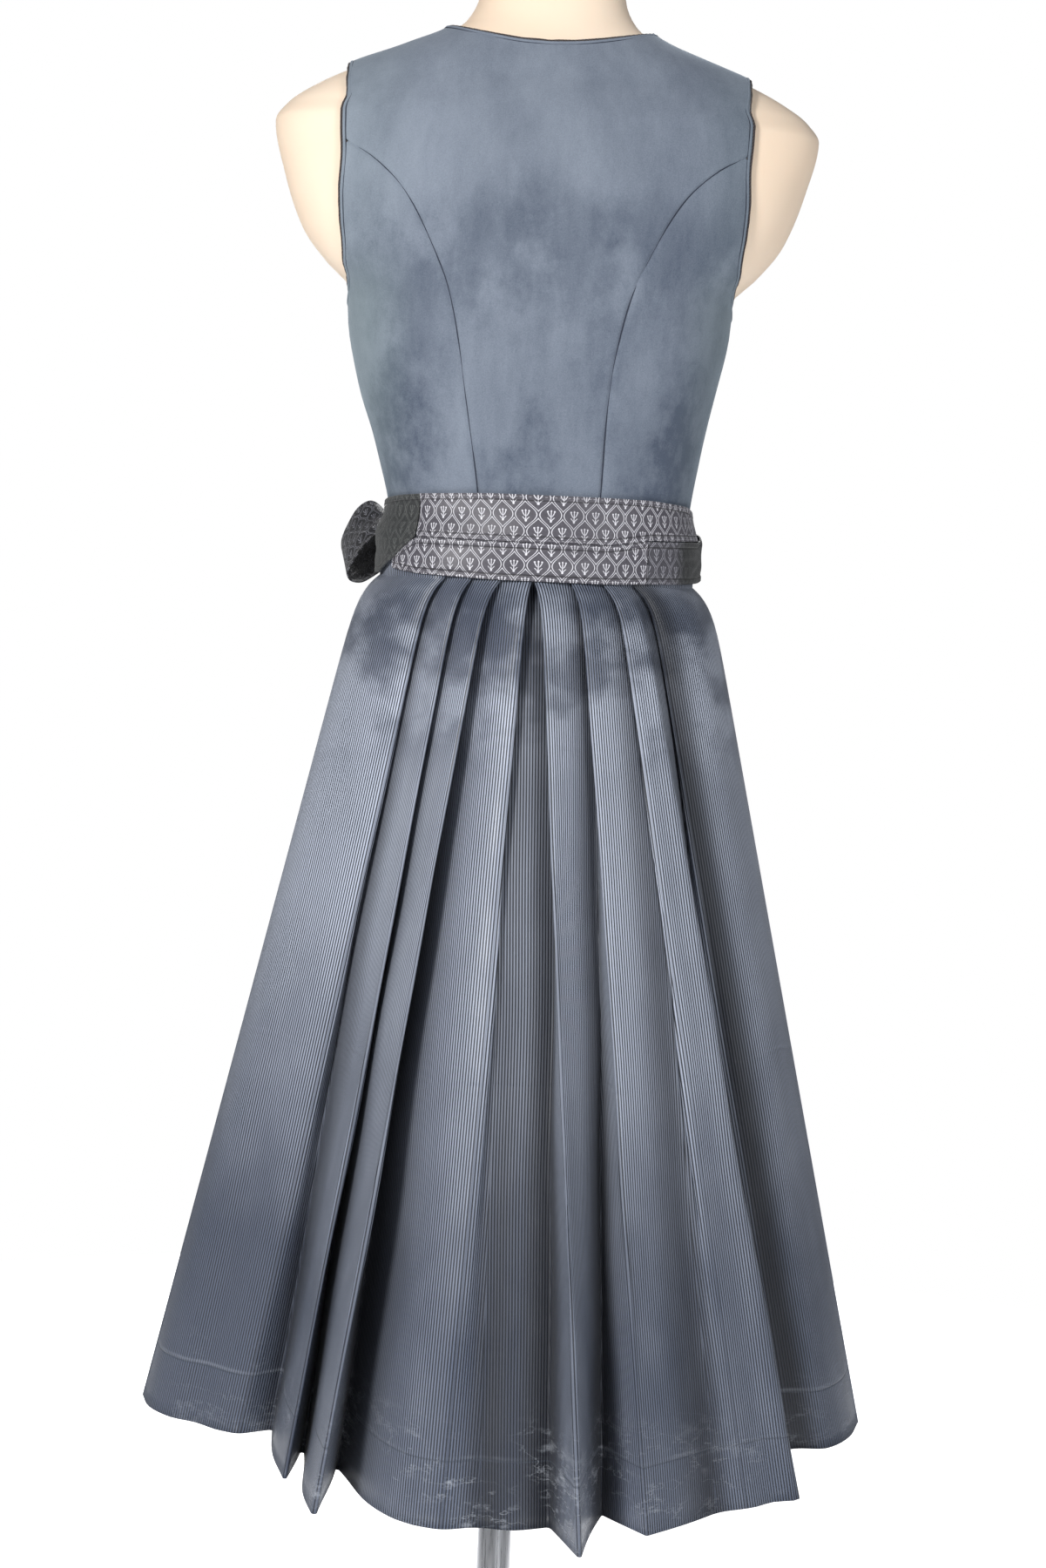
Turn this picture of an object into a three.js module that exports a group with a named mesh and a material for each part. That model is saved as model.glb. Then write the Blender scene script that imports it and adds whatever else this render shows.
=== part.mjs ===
import * as THREE from 'three';

// A sleeveless dirndl with its apron and sash, worn by a limbless dress form on a stand.
// Millimetres, +Z up, floor at z = 0. The back of the dress faces +Y and the wearer's left
// is +X. "Hand" is +1 on the wearer's left and -1 on the right, and "face" is +1 on the back
// half of the body and -1 on the front half.

// Heights
const FORM_BOTTOM_Z = 872;
const WAIST_Z = 1080;
const FLARE_Z = 1050;
const HEM_Z = 400;
const APRON_HEM_Z = 452;
const ARMHOLE_BOTTOM_Z = 1256;
const NECK_POINT_X = 78;

// Cloth: how far the bodice's inside and the form stand off the figure's outline, on either
// side of it, then the thickness of each cloth and the gap at every seam
const BODICE_CLEAR = 1.6;
const FORM_CLEAR = 1.2;
const BODICE_WALL = 2;
const SKIRT_WALL = 1;
const SASH_WALL = 1.2;
const SEAM_GAP = 0.3;

// Stand
const BASE_RADIUS = 165;
const BASE_HEIGHT = 14;
const POLE_RADIUS = 13;
const FLANGE_RADIUS = 46;
const FLANGE_HEIGHT = 8;

// Above the waist the figure stands a little towards the wearer's left
const SWAY = { shift: 6.5, from: 1085, to: 1215 };

// Sections of the form from its bottom to its neck: half width, depth behind and in front of
// the side line, and the power of the rounded-square outline
const FORM_SECTIONS = [
  { z: 872, half: 116, back: 74, front: 72, power: 2.1 },
  { z: 900, half: 126, back: 84, front: 80, power: 2.1 },
  { z: 960, half: 128, back: 87, front: 84, power: 2.1 },
  { z: 1010, half: 117, back: 84, front: 82, power: 2.1 },
  { z: 1050, half: 109, back: 79, front: 78, power: 2.1 },
  { z: 1080, half: 109.5, back: 79, front: 79, power: 2.1 },
  { z: 1111, half: 113.4, back: 82, front: 83, power: 2.2 },
  { z: 1151, half: 121.4, back: 86, front: 92, power: 2.4 },
  { z: 1205, half: 135.4, back: 91, front: 102, power: 2.6 },
  { z: 1240, half: 142, back: 95, front: 107, power: 2.7 },
  { z: 1262, half: 144, back: 97, front: 108, power: 2.7 },
  { z: 1273, half: 151, back: 97.5, front: 107, power: 2.6 },
  { z: 1286, half: 165, back: 98, front: 105, power: 2.5 },
  { z: 1312, half: 185, back: 97, front: 98, power: 2.35 },
  { z: 1352, half: 200, back: 93, front: 86, power: 2.25 },
  { z: 1393, half: 209, back: 83, front: 70, power: 2.2 },
  { z: 1407, half: 200, back: 78, front: 64, power: 2.1 },
  { z: 1421, half: 180, back: 71, front: 58, power: 2.1 },
  { z: 1436, half: 149, back: 64, front: 53, power: 2.1 },
  { z: 1450, half: 112, back: 57, front: 50, power: 2.1 },
  { z: 1463, half: 82, back: 51, front: 50, power: 2.1 },
  { z: 1475, half: 66, back: 47, front: 51, power: 2.05 },
  { z: 1490, half: 58, back: 44, front: 54, power: 2.05 },
  { z: 1515, half: 54, back: 42, front: 56, power: 2 },
  { z: 1540, half: 53, back: 42, front: 56, power: 2 },
  { z: 1546, half: 47, back: 36, front: 50, power: 2 },
];
// The shoulders are widest, start to slope steeply, and end in the neck at these heights
const SHOULDER_WIDEST_Z = 1393;
const SHOULDER_STEEP_Z = 1421;
const NECK_BASE_Z = 1490;
const FORM_RING_STEPS = 28;
const BUST = { x: 68, z: 1256, rise: 15, spread: 38 };

// Seams and edges of the bodice, as distances from the centre line at heights up the body
const PRINCESS_SEAM = {
  back: [
    { z: 1080, x: 42 }, { z: 1117, x: 45 }, { z: 1204, x: 54.5 }, { z: 1230, x: 59 },
    { z: 1260, x: 66 }, { z: 1300, x: 83 }, { z: 1335, x: 103.5 }, { z: 1357, x: 126 },
    { z: 1372, x: 152 },
  ],
  front: [
    { z: 1080, x: 48 }, { z: 1150, x: 57 }, { z: 1210, x: 68 }, { z: 1256, x: 73 },
    { z: 1296, x: 82 }, { z: 1324, x: 99 }, { z: 1342, x: 119 }, { z: 1352, x: 137 },
  ],
};
const ARMHOLE = {
  back: [
    { z: 1265, x: 142 }, { z: 1278, x: 143.5 }, { z: 1300, x: 146.5 }, { z: 1338, x: 151 },
    { z: 1372, x: 152 }, { z: 1403, x: 151 }, { z: 1435, x: 150 },
  ],
  front: [
    { z: 1265, x: 141 }, { z: 1278, x: 139.5 }, { z: 1300, x: 136.5 }, { z: 1326, x: 135.5 },
    { z: 1352, x: 137 }, { z: 1395, x: 142 }, { z: 1435, x: 150 },
  ],
};
const NECKLINE = {
  back: [
    { x: 0, z: 1449 }, { x: 21, z: 1450.2 }, { x: 40.5, z: 1453.2 }, { x: 55.5, z: 1456.6 },
    { x: 66, z: 1459.7 }, { x: 73.5, z: 1462.6 },
  ],
  front: [
    { x: 0, z: 1334 }, { x: 18, z: 1336 }, { x: 33, z: 1342.5 }, { x: 47, z: 1356 },
    { x: 59, z: 1380 }, { x: 68, z: 1412 }, { x: 74, z: 1442 }, { x: 77, z: 1458 },
  ],
};
const LAP_X = 8;
const PIPING_RADIUS = 1.1;
const PIPING_GAP = 0.6;

// Buttons down the closure
const BUTTON = { count: 7, radius: 7, height: 3.4, low: 1122, pitch: 33, stand: 0.7 };

// The ring round the bodice's lower edge that the skirt is sewn to, measured to the lowest
// layer of pleats, how far up the skirt reaches, and the lifts off the ring: of the top layer
// of pleats, of the cloth at the side seams and of the middle of the front
const WAIST_RING = { half: 114.2, back: 84, front: 84, power: 2.1 };
const SKIRT_TOP_Z = 1083;
const PLEAT_STACK = 7.4;
const LAYER_STEP = 2;
const SEAM_LIFT = 6;
const FRONT_LIFT = 0.5;
const FRONT_LIFT_ANGLE = 40;

// The skirt's flare: it springs out below the sash, then falls in straight lines
const FLARE_SPRING = 0.085;
const FLARE_SPRING_LENGTH = 0.02;

// Below the waist each hollow sinks inwards at once, which parts the stacked pleats
const HOLLOW_DIP = 8;
const HOLLOW_DIP_LENGTH = 0.03;

// Folds of the skirt's back from the left side seam to the right one. A ridge is a pleat's
// outer fold and a hollow its inner one: "waist" is the distance from the centre back on the
// waist ring, x and y are the place at the hem, and round is the fold's radius there. A wave
// is a soft bend at the hem that fades towards the waist.
const SKIRT_BACK = [
  { kind: 'seam', x: 280, y: 4 },
  { kind: 'wave', x: 271, y: 32 },
  { kind: 'wave', x: 252, y: 54 },
  { kind: 'wave', x: 232, y: 63 },
  { kind: 'wave', x: 214, y: 76 },
  { kind: 'ridge', waist: 71, x: 196, y: 84, round: 7 },
  { kind: 'hollow', waist: 87, x: 172, y: 72, round: 4 },
  { kind: 'wave', waist: 62, x: 164, y: 128 },
  { kind: 'ridge', waist: 51, x: 153, y: 173, round: 1.5 },
  { kind: 'hollow', waist: 67, x: 146, y: 118, round: 4 },
  { kind: 'wave', waist: 42, x: 138, y: 190 },
  { kind: 'ridge', waist: 29, x: 126, y: 237, round: 1.5 },
  { kind: 'hollow', waist: 45, x: 118, y: 150, round: 5 },
  { kind: 'wave', waist: 24, x: 95, y: 204 },
  { kind: 'wave', waist: 18, x: 74, y: 235 },
  { kind: 'wave', waist: 12, x: 57, y: 249 },
  { kind: 'ridge', waist: 5.5, x: 38, y: 257, round: 8 },
  { kind: 'hollow', waist: 22, x: 12, y: 247, round: 8 },
  { kind: 'wave', x: -12, y: 250 },
  { kind: 'hollow', waist: -16, x: -36, y: 243, round: 4 },
  { kind: 'ridge', waist: -0.3, x: -57, y: 293, round: 1.5 },
  { kind: 'wave', x: -66, y: 252 },
  { kind: 'hollow', waist: -44, x: -74, y: 213, round: 5 },
  { kind: 'ridge', waist: -28, x: -104, y: 251, round: 1.5 },
  { kind: 'wave', x: -128, y: 229 },
  { kind: 'hollow', waist: -68, x: -155, y: 202, round: 10 },
  { kind: 'ridge', waist: -52, x: -179, y: 193, round: 9 },
  { kind: 'wave', waist: -58, x: -198, y: 176 },
  { kind: 'wave', waist: -64, x: -217, y: 167 },
  { kind: 'wave', waist: -70, x: -207, y: 122 },
  { kind: 'hollow', waist: -90, x: -190, y: 75, round: 4 },
  { kind: 'ridge', waist: -75, x: -224, y: 64, round: 7 },
  { kind: 'wave', x: -250, y: 60 },
  { kind: 'wave', x: -270, y: 32 },
  { kind: 'seam', x: -282, y: -5 },
];

// Soft folds of the skirt's front at the hem, from the right side seam to the left one
const SKIRT_FRONT = [
  { x: -282, y: -5.6 }, { x: -274, y: -48 }, { x: -249, y: -84 }, { x: -237, y: -120 },
  { x: -206, y: -138 }, { x: -188, y: -176 }, { x: -152, y: -188 }, { x: -118, y: -216 },
  { x: -78, y: -221 }, { x: -40, y: -238 }, { x: 0, y: -234 }, { x: 42, y: -239 },
  { x: 80, y: -222 }, { x: 118, y: -214 }, { x: 150, y: -189 }, { x: 186, y: -176 },
  { x: 205, y: -140 }, { x: 237, y: -120 }, { x: 250, y: -80 }, { x: 273, y: -42 },
  { x: 280, y: 3.4 },
];
const SKIRT_FRONT_STEPS = 32;
// Shares of the way from the sash to the hem at which the walls have rows of corners
const BACK_LEVELS = [0, 0.004, 0.01, 0.022, 0.055, 0.12, 0.22, 0.36, 0.52, 0.68, 0.84, 1];
const FRONT_LEVELS = [0, 0.022, 0.055, 0.12, 0.3, 0.55, 0.8, 1];
const APRON_HEM_LEVEL = 6;

// Apron: a gathered panel over the skirt's front, and its waistband
const APRON = { from: 0.14, to: 0.86, steps: 42, waves: 8, lift: 2.1, fall: 3.6, depth: 5.5 };
const APRON_BAND = [
  { angle: 252, low: 1052.5, high: 1083, lift: 6.4 },
  { angle: 241, low: 1052.5, high: 1083, lift: 6 },
  { angle: 228, low: 1052.5, high: 1083, lift: 4.3 },
  { angle: 132, low: 1052.5, high: 1083, lift: 4.3 },
  { angle: 119, low: 1052.5, high: 1083, lift: 6 },
  { angle: 108, low: 1052.5, high: 1083, lift: 6.4 },
];

// Stretches of the two ties round the waist. Angles run from the centre back (0) over the
// wearer's left side (90) to the centre front (180) and the right side (270).
const TIES = {
  tie_upper_back: [
    { angle: 47, low: 1080.2, high: 1112.4, lift: 9.1 },
    { angle: 15, low: 1079.6, high: 1114.5, lift: 9.1 },
    { angle: -25, low: 1079.6, high: 1114.6, lift: 9.1 },
    { angle: -42, low: 1084.4, high: 1114.2, lift: 9.1 },
    { angle: -70, low: 1085.4, high: 1111, lift: 9.2 },
    { angle: -84, low: 1085.8, high: 1106.5, lift: 9.4 },
  ],
  tie_lower_back: [
    { angle: 62, low: 1056, high: 1066, lift: 9.1 },
    { angle: 47, low: 1053, high: 1079.8, lift: 9.1 },
    { angle: 15, low: 1051, high: 1079.2, lift: 9.1 },
    { angle: -25, low: 1050.8, high: 1079.2, lift: 9.1 },
    { angle: -41, low: 1052, high: 1083.6, lift: 9.1 },
  ],
  tie_side_left: [
    { angle: 47.4, low: 1080.6, high: 1112.2, lift: 10.8 },
    { angle: 60, low: 1064, high: 1111, lift: 10.9 },
    { angle: 74, low: 1052, high: 1109, lift: 10.4 },
    { angle: 96, low: 1051, high: 1104, lift: 9.6 },
    { angle: 108, low: 1054, high: 1100, lift: 8.2 },
    { angle: 119, low: 1056, high: 1098, lift: 7.8 },
    { angle: 129.8, low: 1058, high: 1096, lift: 6.4 },
  ],
  tie_side_right: [
    { angle: -41.4, low: 1052, high: 1083.6, lift: 9.1 },
    { angle: -70, low: 1053, high: 1084.6, lift: 9.2 },
    { angle: -83, low: 1054, high: 1085, lift: 9.8 },
    { angle: -91, low: 1056, high: 1091, lift: 12.4 },
    { angle: -101, low: 1054, high: 1096, lift: 9 },
    { angle: -108, low: 1053, high: 1098, lift: 8 },
    { angle: -118, low: 1053, high: 1098, lift: 7.8 },
  ],
  tie_front: [
    { angle: 241.6, low: 1053, high: 1098, lift: 7.8 },
    { angle: 228, low: 1053, high: 1098, lift: 6 },
    { angle: 200, low: 1052, high: 1098, lift: 6 },
    { angle: 160, low: 1053, high: 1097, lift: 6 },
    { angle: 130.2, low: 1058, high: 1096, lift: 6.4 },
  ],
};
const TIE_DEGREES_PER_STEP = 7;
// Above this height a tie leans in until its upper edge lies on the bodice; one that rises
// less than these amounts over it stays upright, or leans only part of the way
const TIE_LEAN_Z = 1084.5;
const TIE_LEAN_RISE = [2, 13];
const TIE_EDGE_CLEAR = 1.3;

// Bow at the wearer's left front. Each loop is a ribbon, given by its two long edges from the
// knot out to the tip and back: "near" is the edge towards the back of the dress, and "far"
// the one towards the front.
const KNOT = { angle: 130, z: 1077, lift: 18.2, along: 13, out: 10.6, up: 19 };
const BOW_LOOP_BACK = [
  { near: [106.9, -55.9, 1085], far: [113.5, -63.5, 1085] },
  { near: [116, -40, 1088], far: [124, -66, 1101] },
  { near: [126.5, -18, 1080], far: [134, -67, 1107] },
  { near: [136, -8, 1070], far: [143, -65, 1102] },
  { near: [143, -4, 1058], far: [151, -61, 1088] },
  { near: [146.5, -4, 1050], far: [155.5, -59, 1074] },
  { near: [144, -6, 1044.5], far: [154, -60, 1065] },
  { near: [137, -12, 1043], far: [147, -64, 1065] },
  { near: [129, -26, 1047], far: [137, -69, 1073] },
  { near: [117, -44, 1057], far: [124, -68, 1078] },
  { near: [106.9, -55.9, 1069], far: [113.5, -63.5, 1069] },
];
const BOW_LOOP_FRONT = [
  { near: [90.5, -77.8, 1085], far: [90.5, -77.8, 1069] },
  { near: [77, -99, 1100], far: [75, -98, 1058] },
  { near: [58, -114, 1103], far: [56, -113, 1050] },
  { near: [38, -119, 1099], far: [36, -118, 1046] },
  { near: [28, -113, 1094], far: [26, -112, 1044] },
  { near: [29, -105, 1092], far: [28, -104, 1044] },
  { near: [42, -99, 1095], far: [41, -98, 1050] },
  { near: [62, -90.5, 1093], far: [61.5, -89.5, 1058] },
  { near: [88.4, -72.5, 1084], far: [88.4, -72.5, 1070] },
];
const BOW_TAILS = {
  bow_tail_left: { top: 0.797, bottom: 0.86, end: 640, narrow: 14, wide: 50 },
  bow_tail_right: { top: 0.745, bottom: 0.69, end: 672, narrow: 14, wide: 50 },
};
// How far a tail stands off the apron under the knot and from a third of the way down
const TAIL_LIFT = { top: 13, low: 1.8 };
const TAIL_ROWS = 10;
const TAIL_COLUMNS = 4;

const MATERIALS = {
  velvet: { color: '#66707f', roughness: 0.9, metalness: 0 },
  skirt: { color: '#5f6a7b', roughness: 0.55, metalness: 0 },
  jacquard: { color: '#77757d', roughness: 0.5, metalness: 0 },
  piping: { color: '#3a3436', roughness: 0.7, metalness: 0 },
  button: { color: '#8d8f94', roughness: 0.35, metalness: 0.8 },
  form: { color: '#ead9c6', roughness: 0.5, metalness: 0 },
  stand: { color: '#c9c9cb', roughness: 0.35, metalness: 0.8 },
};

const dirndl = new THREE.Group();
dirndl.name = 'dirndl';

function addPiece(name, geometry, finish) {
  const mesh = new THREE.Mesh(geometry, new THREE.MeshStandardMaterial(MATERIALS[finish]));
  mesh.name = name;
  dirndl.add(mesh);
  return mesh;
}

const lerp = THREE.MathUtils.lerp;
const clamp = THREE.MathUtils.clamp;
const radians = THREE.MathUtils.degToRad;

function smoothStep(value, from, to) {
  const s = clamp((value - from) / (to - from), 0, 1);
  return s * s * (3 - 2 * s);
}

// One column of a table between its rows, on a curve that never overshoots them
function columnAt(table, key, column, at) {
  const last = table.length - 1;
  if (at <= table[0][key]) return table[0][column];
  if (at >= table[last][key]) return table[last][column];
  let row = 0;
  while (table[row + 1][key] < at) row += 1;
  const span = (a) => table[a + 1][key] - table[a][key];
  const slope = (a) => (table[a + 1][column] - table[a][column]) / span(a);
  const tangent = (a) => {
    if (a === 0) return slope(0);
    if (a === last) return slope(last - 1);
    const product = slope(a - 1) * slope(a);
    return product <= 0 ? 0 : (2 * product) / (slope(a - 1) + slope(a));
  };
  const s = (at - table[row][key]) / span(row);
  const rise = table[row + 1][column] - table[row][column];
  const bend = s * s * (3 - 2 * s) * rise;
  const leave = s * (1 - s) * (1 - s) * tangent(row) * span(row);
  const arrive = s * s * (1 - s) * tangent(row + 1) * span(row);
  return table[row][column] + bend + leave - arrive;
}

// Closed surfaces

function signedVolume(positions, index) {
  const corner = (i) => new THREE.Vector3(...positions[index[i]]);
  let volume = 0;
  for (let i = 0; i < index.length; i += 3) {
    volume += corner(i).dot(corner(i + 1).cross(corner(i + 2))) / 6;
  }
  return volume;
}

function solidGeometry(points, index) {
  const positions = points.map((p) => [p.x, p.y, p.z]);
  if (signedVolume(positions, index) < 0) index.reverse();
  const geometry = new THREE.BufferGeometry();
  geometry.setAttribute('position', new THREE.Float32BufferAttribute(positions.flat(), 3));
  geometry.setIndex(index);
  geometry.computeVertexNormals();
  return geometry;
}

// A wall between two grids of points of the same size, closed along its four edges. Columns
// before turnColumn are split along the other diagonal.
function wallGeometry(outer, inner, turnColumn = 0) {
  const rows = outer.length;
  const columns = outer[0].length;
  const index = [];
  const quad = (a, b, c, d) => index.push(a, b, c, a, c, d);
  const turnedQuad = (a, b, c, d) => index.push(a, b, d, b, c, d);
  const out = (row, column) => row * columns + column;
  const inn = (row, column) => (rows + row) * columns + column;
  for (let r = 0; r < rows - 1; r += 1) {
    for (let c = 0; c < columns - 1; c += 1) {
      const face = c < turnColumn ? turnedQuad : quad;
      face(out(r, c), out(r, c + 1), out(r + 1, c + 1), out(r + 1, c));
      face(inn(r, c), inn(r + 1, c), inn(r + 1, c + 1), inn(r, c + 1));
    }
    quad(out(r, 0), out(r + 1, 0), inn(r + 1, 0), inn(r, 0));
    const end = columns - 1;
    quad(out(r, end), inn(r, end), inn(r + 1, end), out(r + 1, end));
  }
  for (let c = 0; c < columns - 1; c += 1) {
    quad(out(0, c), inn(0, c), inn(0, c + 1), out(0, c + 1));
    const top = rows - 1;
    quad(out(top, c), out(top, c + 1), inn(top, c + 1), inn(top, c));
  }
  return solidGeometry([...outer.flat(), ...inner.flat()], index);
}

// A solid through rings of points, closed at both ends by a fan round the ring's middle
function ringsGeometry(rings) {
  const count = rings[0].length;
  const points = rings.flat();
  const index = [];
  for (let r = 0; r < rings.length - 1; r += 1) {
    for (let c = 0; c < count; c += 1) {
      const a = r * count + c;
      const b = r * count + ((c + 1) % count);
      index.push(a, b, b + count, a, b + count, a + count);
    }
  }
  for (const [ring, first, turn] of [[rings[0], 0, 1], [rings.at(-1), points.length - count, -1]]) {
    const middle = ring.reduce((sum, p) => sum.add(p), new THREE.Vector3()).divideScalar(count);
    const centre = points.push(middle) - 1;
    for (let c = 0; c < count; c += 1) {
      const edge = [first + c, first + ((c + 1) % count)];
      index.push(centre, ...(turn > 0 ? edge.reverse() : edge));
    }
  }
  return solidGeometry(points, index);
}

// A round cord through points, open at both ends or closed into a loop
function cordGeometry(path, radius, sides, closed) {
  const rings = path.map((point, i) => {
    const before = path[closed ? (i + path.length - 1) % path.length : Math.max(i - 1, 0)];
    const after = path[closed ? (i + 1) % path.length : Math.min(i + 1, path.length - 1)];
    const along = after.centre.clone().sub(before.centre).normalize();
    const across = along.clone().cross(point.normal).normalize();
    const up = across.clone().cross(along);
    return Array.from({ length: sides }, (_, k) => {
      const turn = (2 * Math.PI * k) / sides;
      return point.centre.clone()
        .addScaledVector(across, radius * Math.cos(turn))
        .addScaledVector(up, radius * Math.sin(turn));
    });
  });
  if (!closed) return ringsGeometry(rings);
  const index = [];
  const total = rings.length * sides;
  for (let r = 0; r < rings.length; r += 1) {
    for (let k = 0; k < sides; k += 1) {
      const a = r * sides + k;
      const b = r * sides + ((k + 1) % sides);
      index.push(a, b, (b + sides) % total, a, (b + sides) % total, (a + sides) % total);
    }
  }
  return solidGeometry(rings.flat(), index);
}

// The form's surface

function bodySection(z) {
  const at = (column) => columnAt(FORM_SECTIONS, 'z', column, z);
  return { half: at('half'), back: at('back'), front: at('front'), power: at('power') };
}

function bustRise(x, z) {
  const dx = (Math.abs(x) - BUST.x) / BUST.spread;
  const dz = (z - BUST.z) / BUST.spread;
  return BUST.rise * Math.exp(-(dx * dx + dz * dz) / 2);
}

function sideDepth(section, x, z, face) {
  return face > 0 ? section.back : section.front + bustRise(x, z);
}

// One on the surface, less inside it and more outside
function bodyLevel(x, y, z) {
  const section = bodySection(z);
  const depth = sideDepth(section, x, z, y);
  return (Math.abs(x) / section.half) ** section.power + (Math.abs(y) / depth) ** section.power;
}

function bodyNormal(x, y, z) {
  const h = 0.5;
  return new THREE.Vector3(
    bodyLevel(x + h, y, z) - bodyLevel(x - h, y, z),
    bodyLevel(x, y + h, z) - bodyLevel(x, y - h, z),
    bodyLevel(x, y, z + h) - bodyLevel(x, y, z - h),
  ).normalize();
}

// Height of the shoulder's crest above a distance from the centre line
function crestHeight(x) {
  let low = SHOULDER_WIDEST_Z;
  let high = NECK_BASE_Z;
  for (let i = 0; i < 40; i += 1) {
    const middle = (low + high) / 2;
    if (columnAt(FORM_SECTIONS, 'z', 'half', middle) > Math.abs(x)) low = middle;
    else high = middle;
  }
  return low;
}

// A point over the form's surface, from its distance to the centre line and its height
function onBody(x, z, face, lift) {
  const height = z > SHOULDER_WIDEST_Z ? Math.min(z, crestHeight(x)) : z;
  const section = bodySection(height);
  const reach = Math.min(Math.abs(x) / section.half, 1);
  const depth = sideDepth(section, x, height, face);
  const y = face * depth * (1 - reach ** section.power) ** (1 / section.power);
  const point = new THREE.Vector3(x, y, height).addScaledVector(bodyNormal(x, y, height), lift);
  point.x += SWAY.shift * smoothStep(height, SWAY.from, SWAY.to);
  return point;
}

function angleOf(x, z) {
  const section = bodySection(z);
  return Math.asin(Math.min(Math.abs(x) / section.half, 1) ** (section.power / 2));
}

function distanceOf(angle, z) {
  const section = bodySection(z);
  return section.half * Math.sin(angle) ** (2 / section.power);
}

function formTorso() {
  const heights = FORM_SECTIONS.flatMap(({ z }, i) => {
    const next = FORM_SECTIONS[i + 1]?.z;
    return z >= SHOULDER_STEEP_Z && z < NECK_BASE_Z ? [z, (z + next) / 2] : [z];
  });
  const rings = heights.map((z) => Array.from({ length: FORM_RING_STEPS }, (_, k) => {
    const turn = (2 * Math.PI * k) / FORM_RING_STEPS;
    const face = Math.cos(turn) >= 0 ? 1 : -1;
    const section = bodySection(z);
    const x = section.half * Math.sign(Math.sin(turn)) * Math.abs(Math.sin(turn)) ** (2 / section.power);
    const depth = sideDepth(section, x, z, face);
    const y = face * depth * Math.abs(Math.cos(turn)) ** (2 / section.power);
    const point = new THREE.Vector3(x, y, z).addScaledVector(bodyNormal(x, y, z), -FORM_CLEAR);
    point.x += SWAY.shift * smoothStep(z, SWAY.from, SWAY.to);
    return point;
  }));
  return ringsGeometry(rings);
}

// Bodice

// A wall over the form from a grid of places {x, z, face, nudge}
function bodicePanel(grid) {
  const surface = (lift) => grid.map((row) => row.map((cell) => {
    const point = onBody(cell.x, cell.z, cell.face, lift);
    point.y += cell.nudge ?? 0;
    return point;
  }));
  return wallGeometry(surface(BODICE_CLEAR + BODICE_WALL), surface(BODICE_CLEAR));
}

const BODICE_LOW_Z = WAIST_Z + SEAM_GAP;
const faceName = (face) => (face > 0 ? 'back' : 'front');

// Heights at which a princess seam is cut, shared by the panels on both sides of it
const SEAM_ROWS = {
  back: [BODICE_LOW_Z, 1117, 1160, 1204, 1232, 1260, 1284, 1306, 1327, 1344, 1359, 1372],
  front: [BODICE_LOW_Z, 1117, 1155, 1190, 1222, 1252, 1278, 1300, 1318, 1332, 1343, 1352],
};
const SIDE_SEAM_ROWS = 5;
const FRONT_ROW_BEND = 1.6;
// Share of the back panel's half width that its neckline takes, and how far up to the princess
// seam's end the top row of a side panel starts
const NECK_SHARE = 0.52;
const TOP_ROW_SHARE = 0.8;
// How far the panels of each face draw back from the shoulder seam and from the side seam
const CREST_NUDGE = SEAM_GAP / 2 + 0.1;
const SIDE_SEAM_NUDGE = 0.12;
// How far up to the shoulder seam the rows above a princess seam lie: in front they meet the
// corners of the neckline
const SHOULDER_ROWS = {
  back: [0.22, 0.44, 0.64, 0.8, 0.91, 0.97, 1],
  front: [0.12, 0.26, 0.42, 0.6, 0.76, 0.9, 0.97, 1],
};

// Linear place on a table of heights and distances
function edgeX(rows, z) {
  const i = clamp(rows.findIndex((row) => row.z >= z), 1, rows.length - 1);
  return lerp(rows[i - 1].x, rows[i].x, (z - rows[i - 1].z) / (rows[i].z - rows[i - 1].z));
}

// Cells of the last row lie on the shoulder seam, just short of the other face
function crestCell(x, face) {
  return { x, z: crestHeight(x), face, nudge: face * CREST_NUDGE };
}

function backCentrePanel() {
  const neck = neckRows('back').map(({ x }) => (NECK_SHARE * x) / NECK_POINT_X);
  const half = [...neck.slice(1), 0.68, 0.84, 1];
  const across = [...half.map((u) => -u).reverse(), 0, ...half];
  const grid = SEAM_ROWS.back.map((z) => {
    const reach = columnAt(PRINCESS_SEAM.back, 'z', 'x', z) - SEAM_GAP / 2;
    return across.map((u) => ({ x: u * reach, z, face: 1 }));
  });
  const seamTop = PRINCESS_SEAM.back.at(-1);
  for (const v of SHOULDER_ROWS.back) {
    grid.push(across.map((u) => {
      const top = backTopCell(u);
      const nudge = v === 1 ? top.nudge : 0;
      return { ...top, x: lerp(u * seamTop.x, top.x, v), z: lerp(seamTop.z, top.z, v), nudge };
    }));
  }
  return bodicePanel(grid);
}

function backTopCell(u) {
  const side = Math.abs(u);
  if (side < NECK_SHARE) {
    const x = (side / NECK_SHARE) * NECK_POINT_X;
    return { x: Math.sign(u) * x, z: columnAt(neckRows('back'), 'x', 'z', x), face: 1 };
  }
  const x = lerp(NECK_POINT_X, ARMHOLE.back.at(-1).x, (side - NECK_SHARE) / (1 - NECK_SHARE));
  return { ...crestCell(x, 1), x: Math.sign(u) * x };
}

function neckRows(name) {
  return [...NECKLINE[name], { x: NECK_POINT_X, z: crestHeight(NECK_POINT_X) }];
}

// The armhole's edge on one face, from under the arm to the shoulder, as angles and heights
function armholeEdge(name) {
  const low = [
    { angle: Math.PI / 2, z: ARMHOLE_BOTTOM_Z },
    { angle: radians(83), z: ARMHOLE_BOTTOM_Z + 2.2 },
  ];
  const rows = ARMHOLE[name];
  const [below, tip] = rows.slice(-2);
  const nearTip = [0.55, 0.82, 0.95].map((share) => (
    { x: lerp(below.x, tip.x, share), z: lerp(below.z, tip.z, share) }));
  return [...low, ...[...rows.slice(0, -1), ...nearTip, tip].map((row) => (
    { angle: angleOf(row.x, row.z), z: row.z }))];
}

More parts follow.
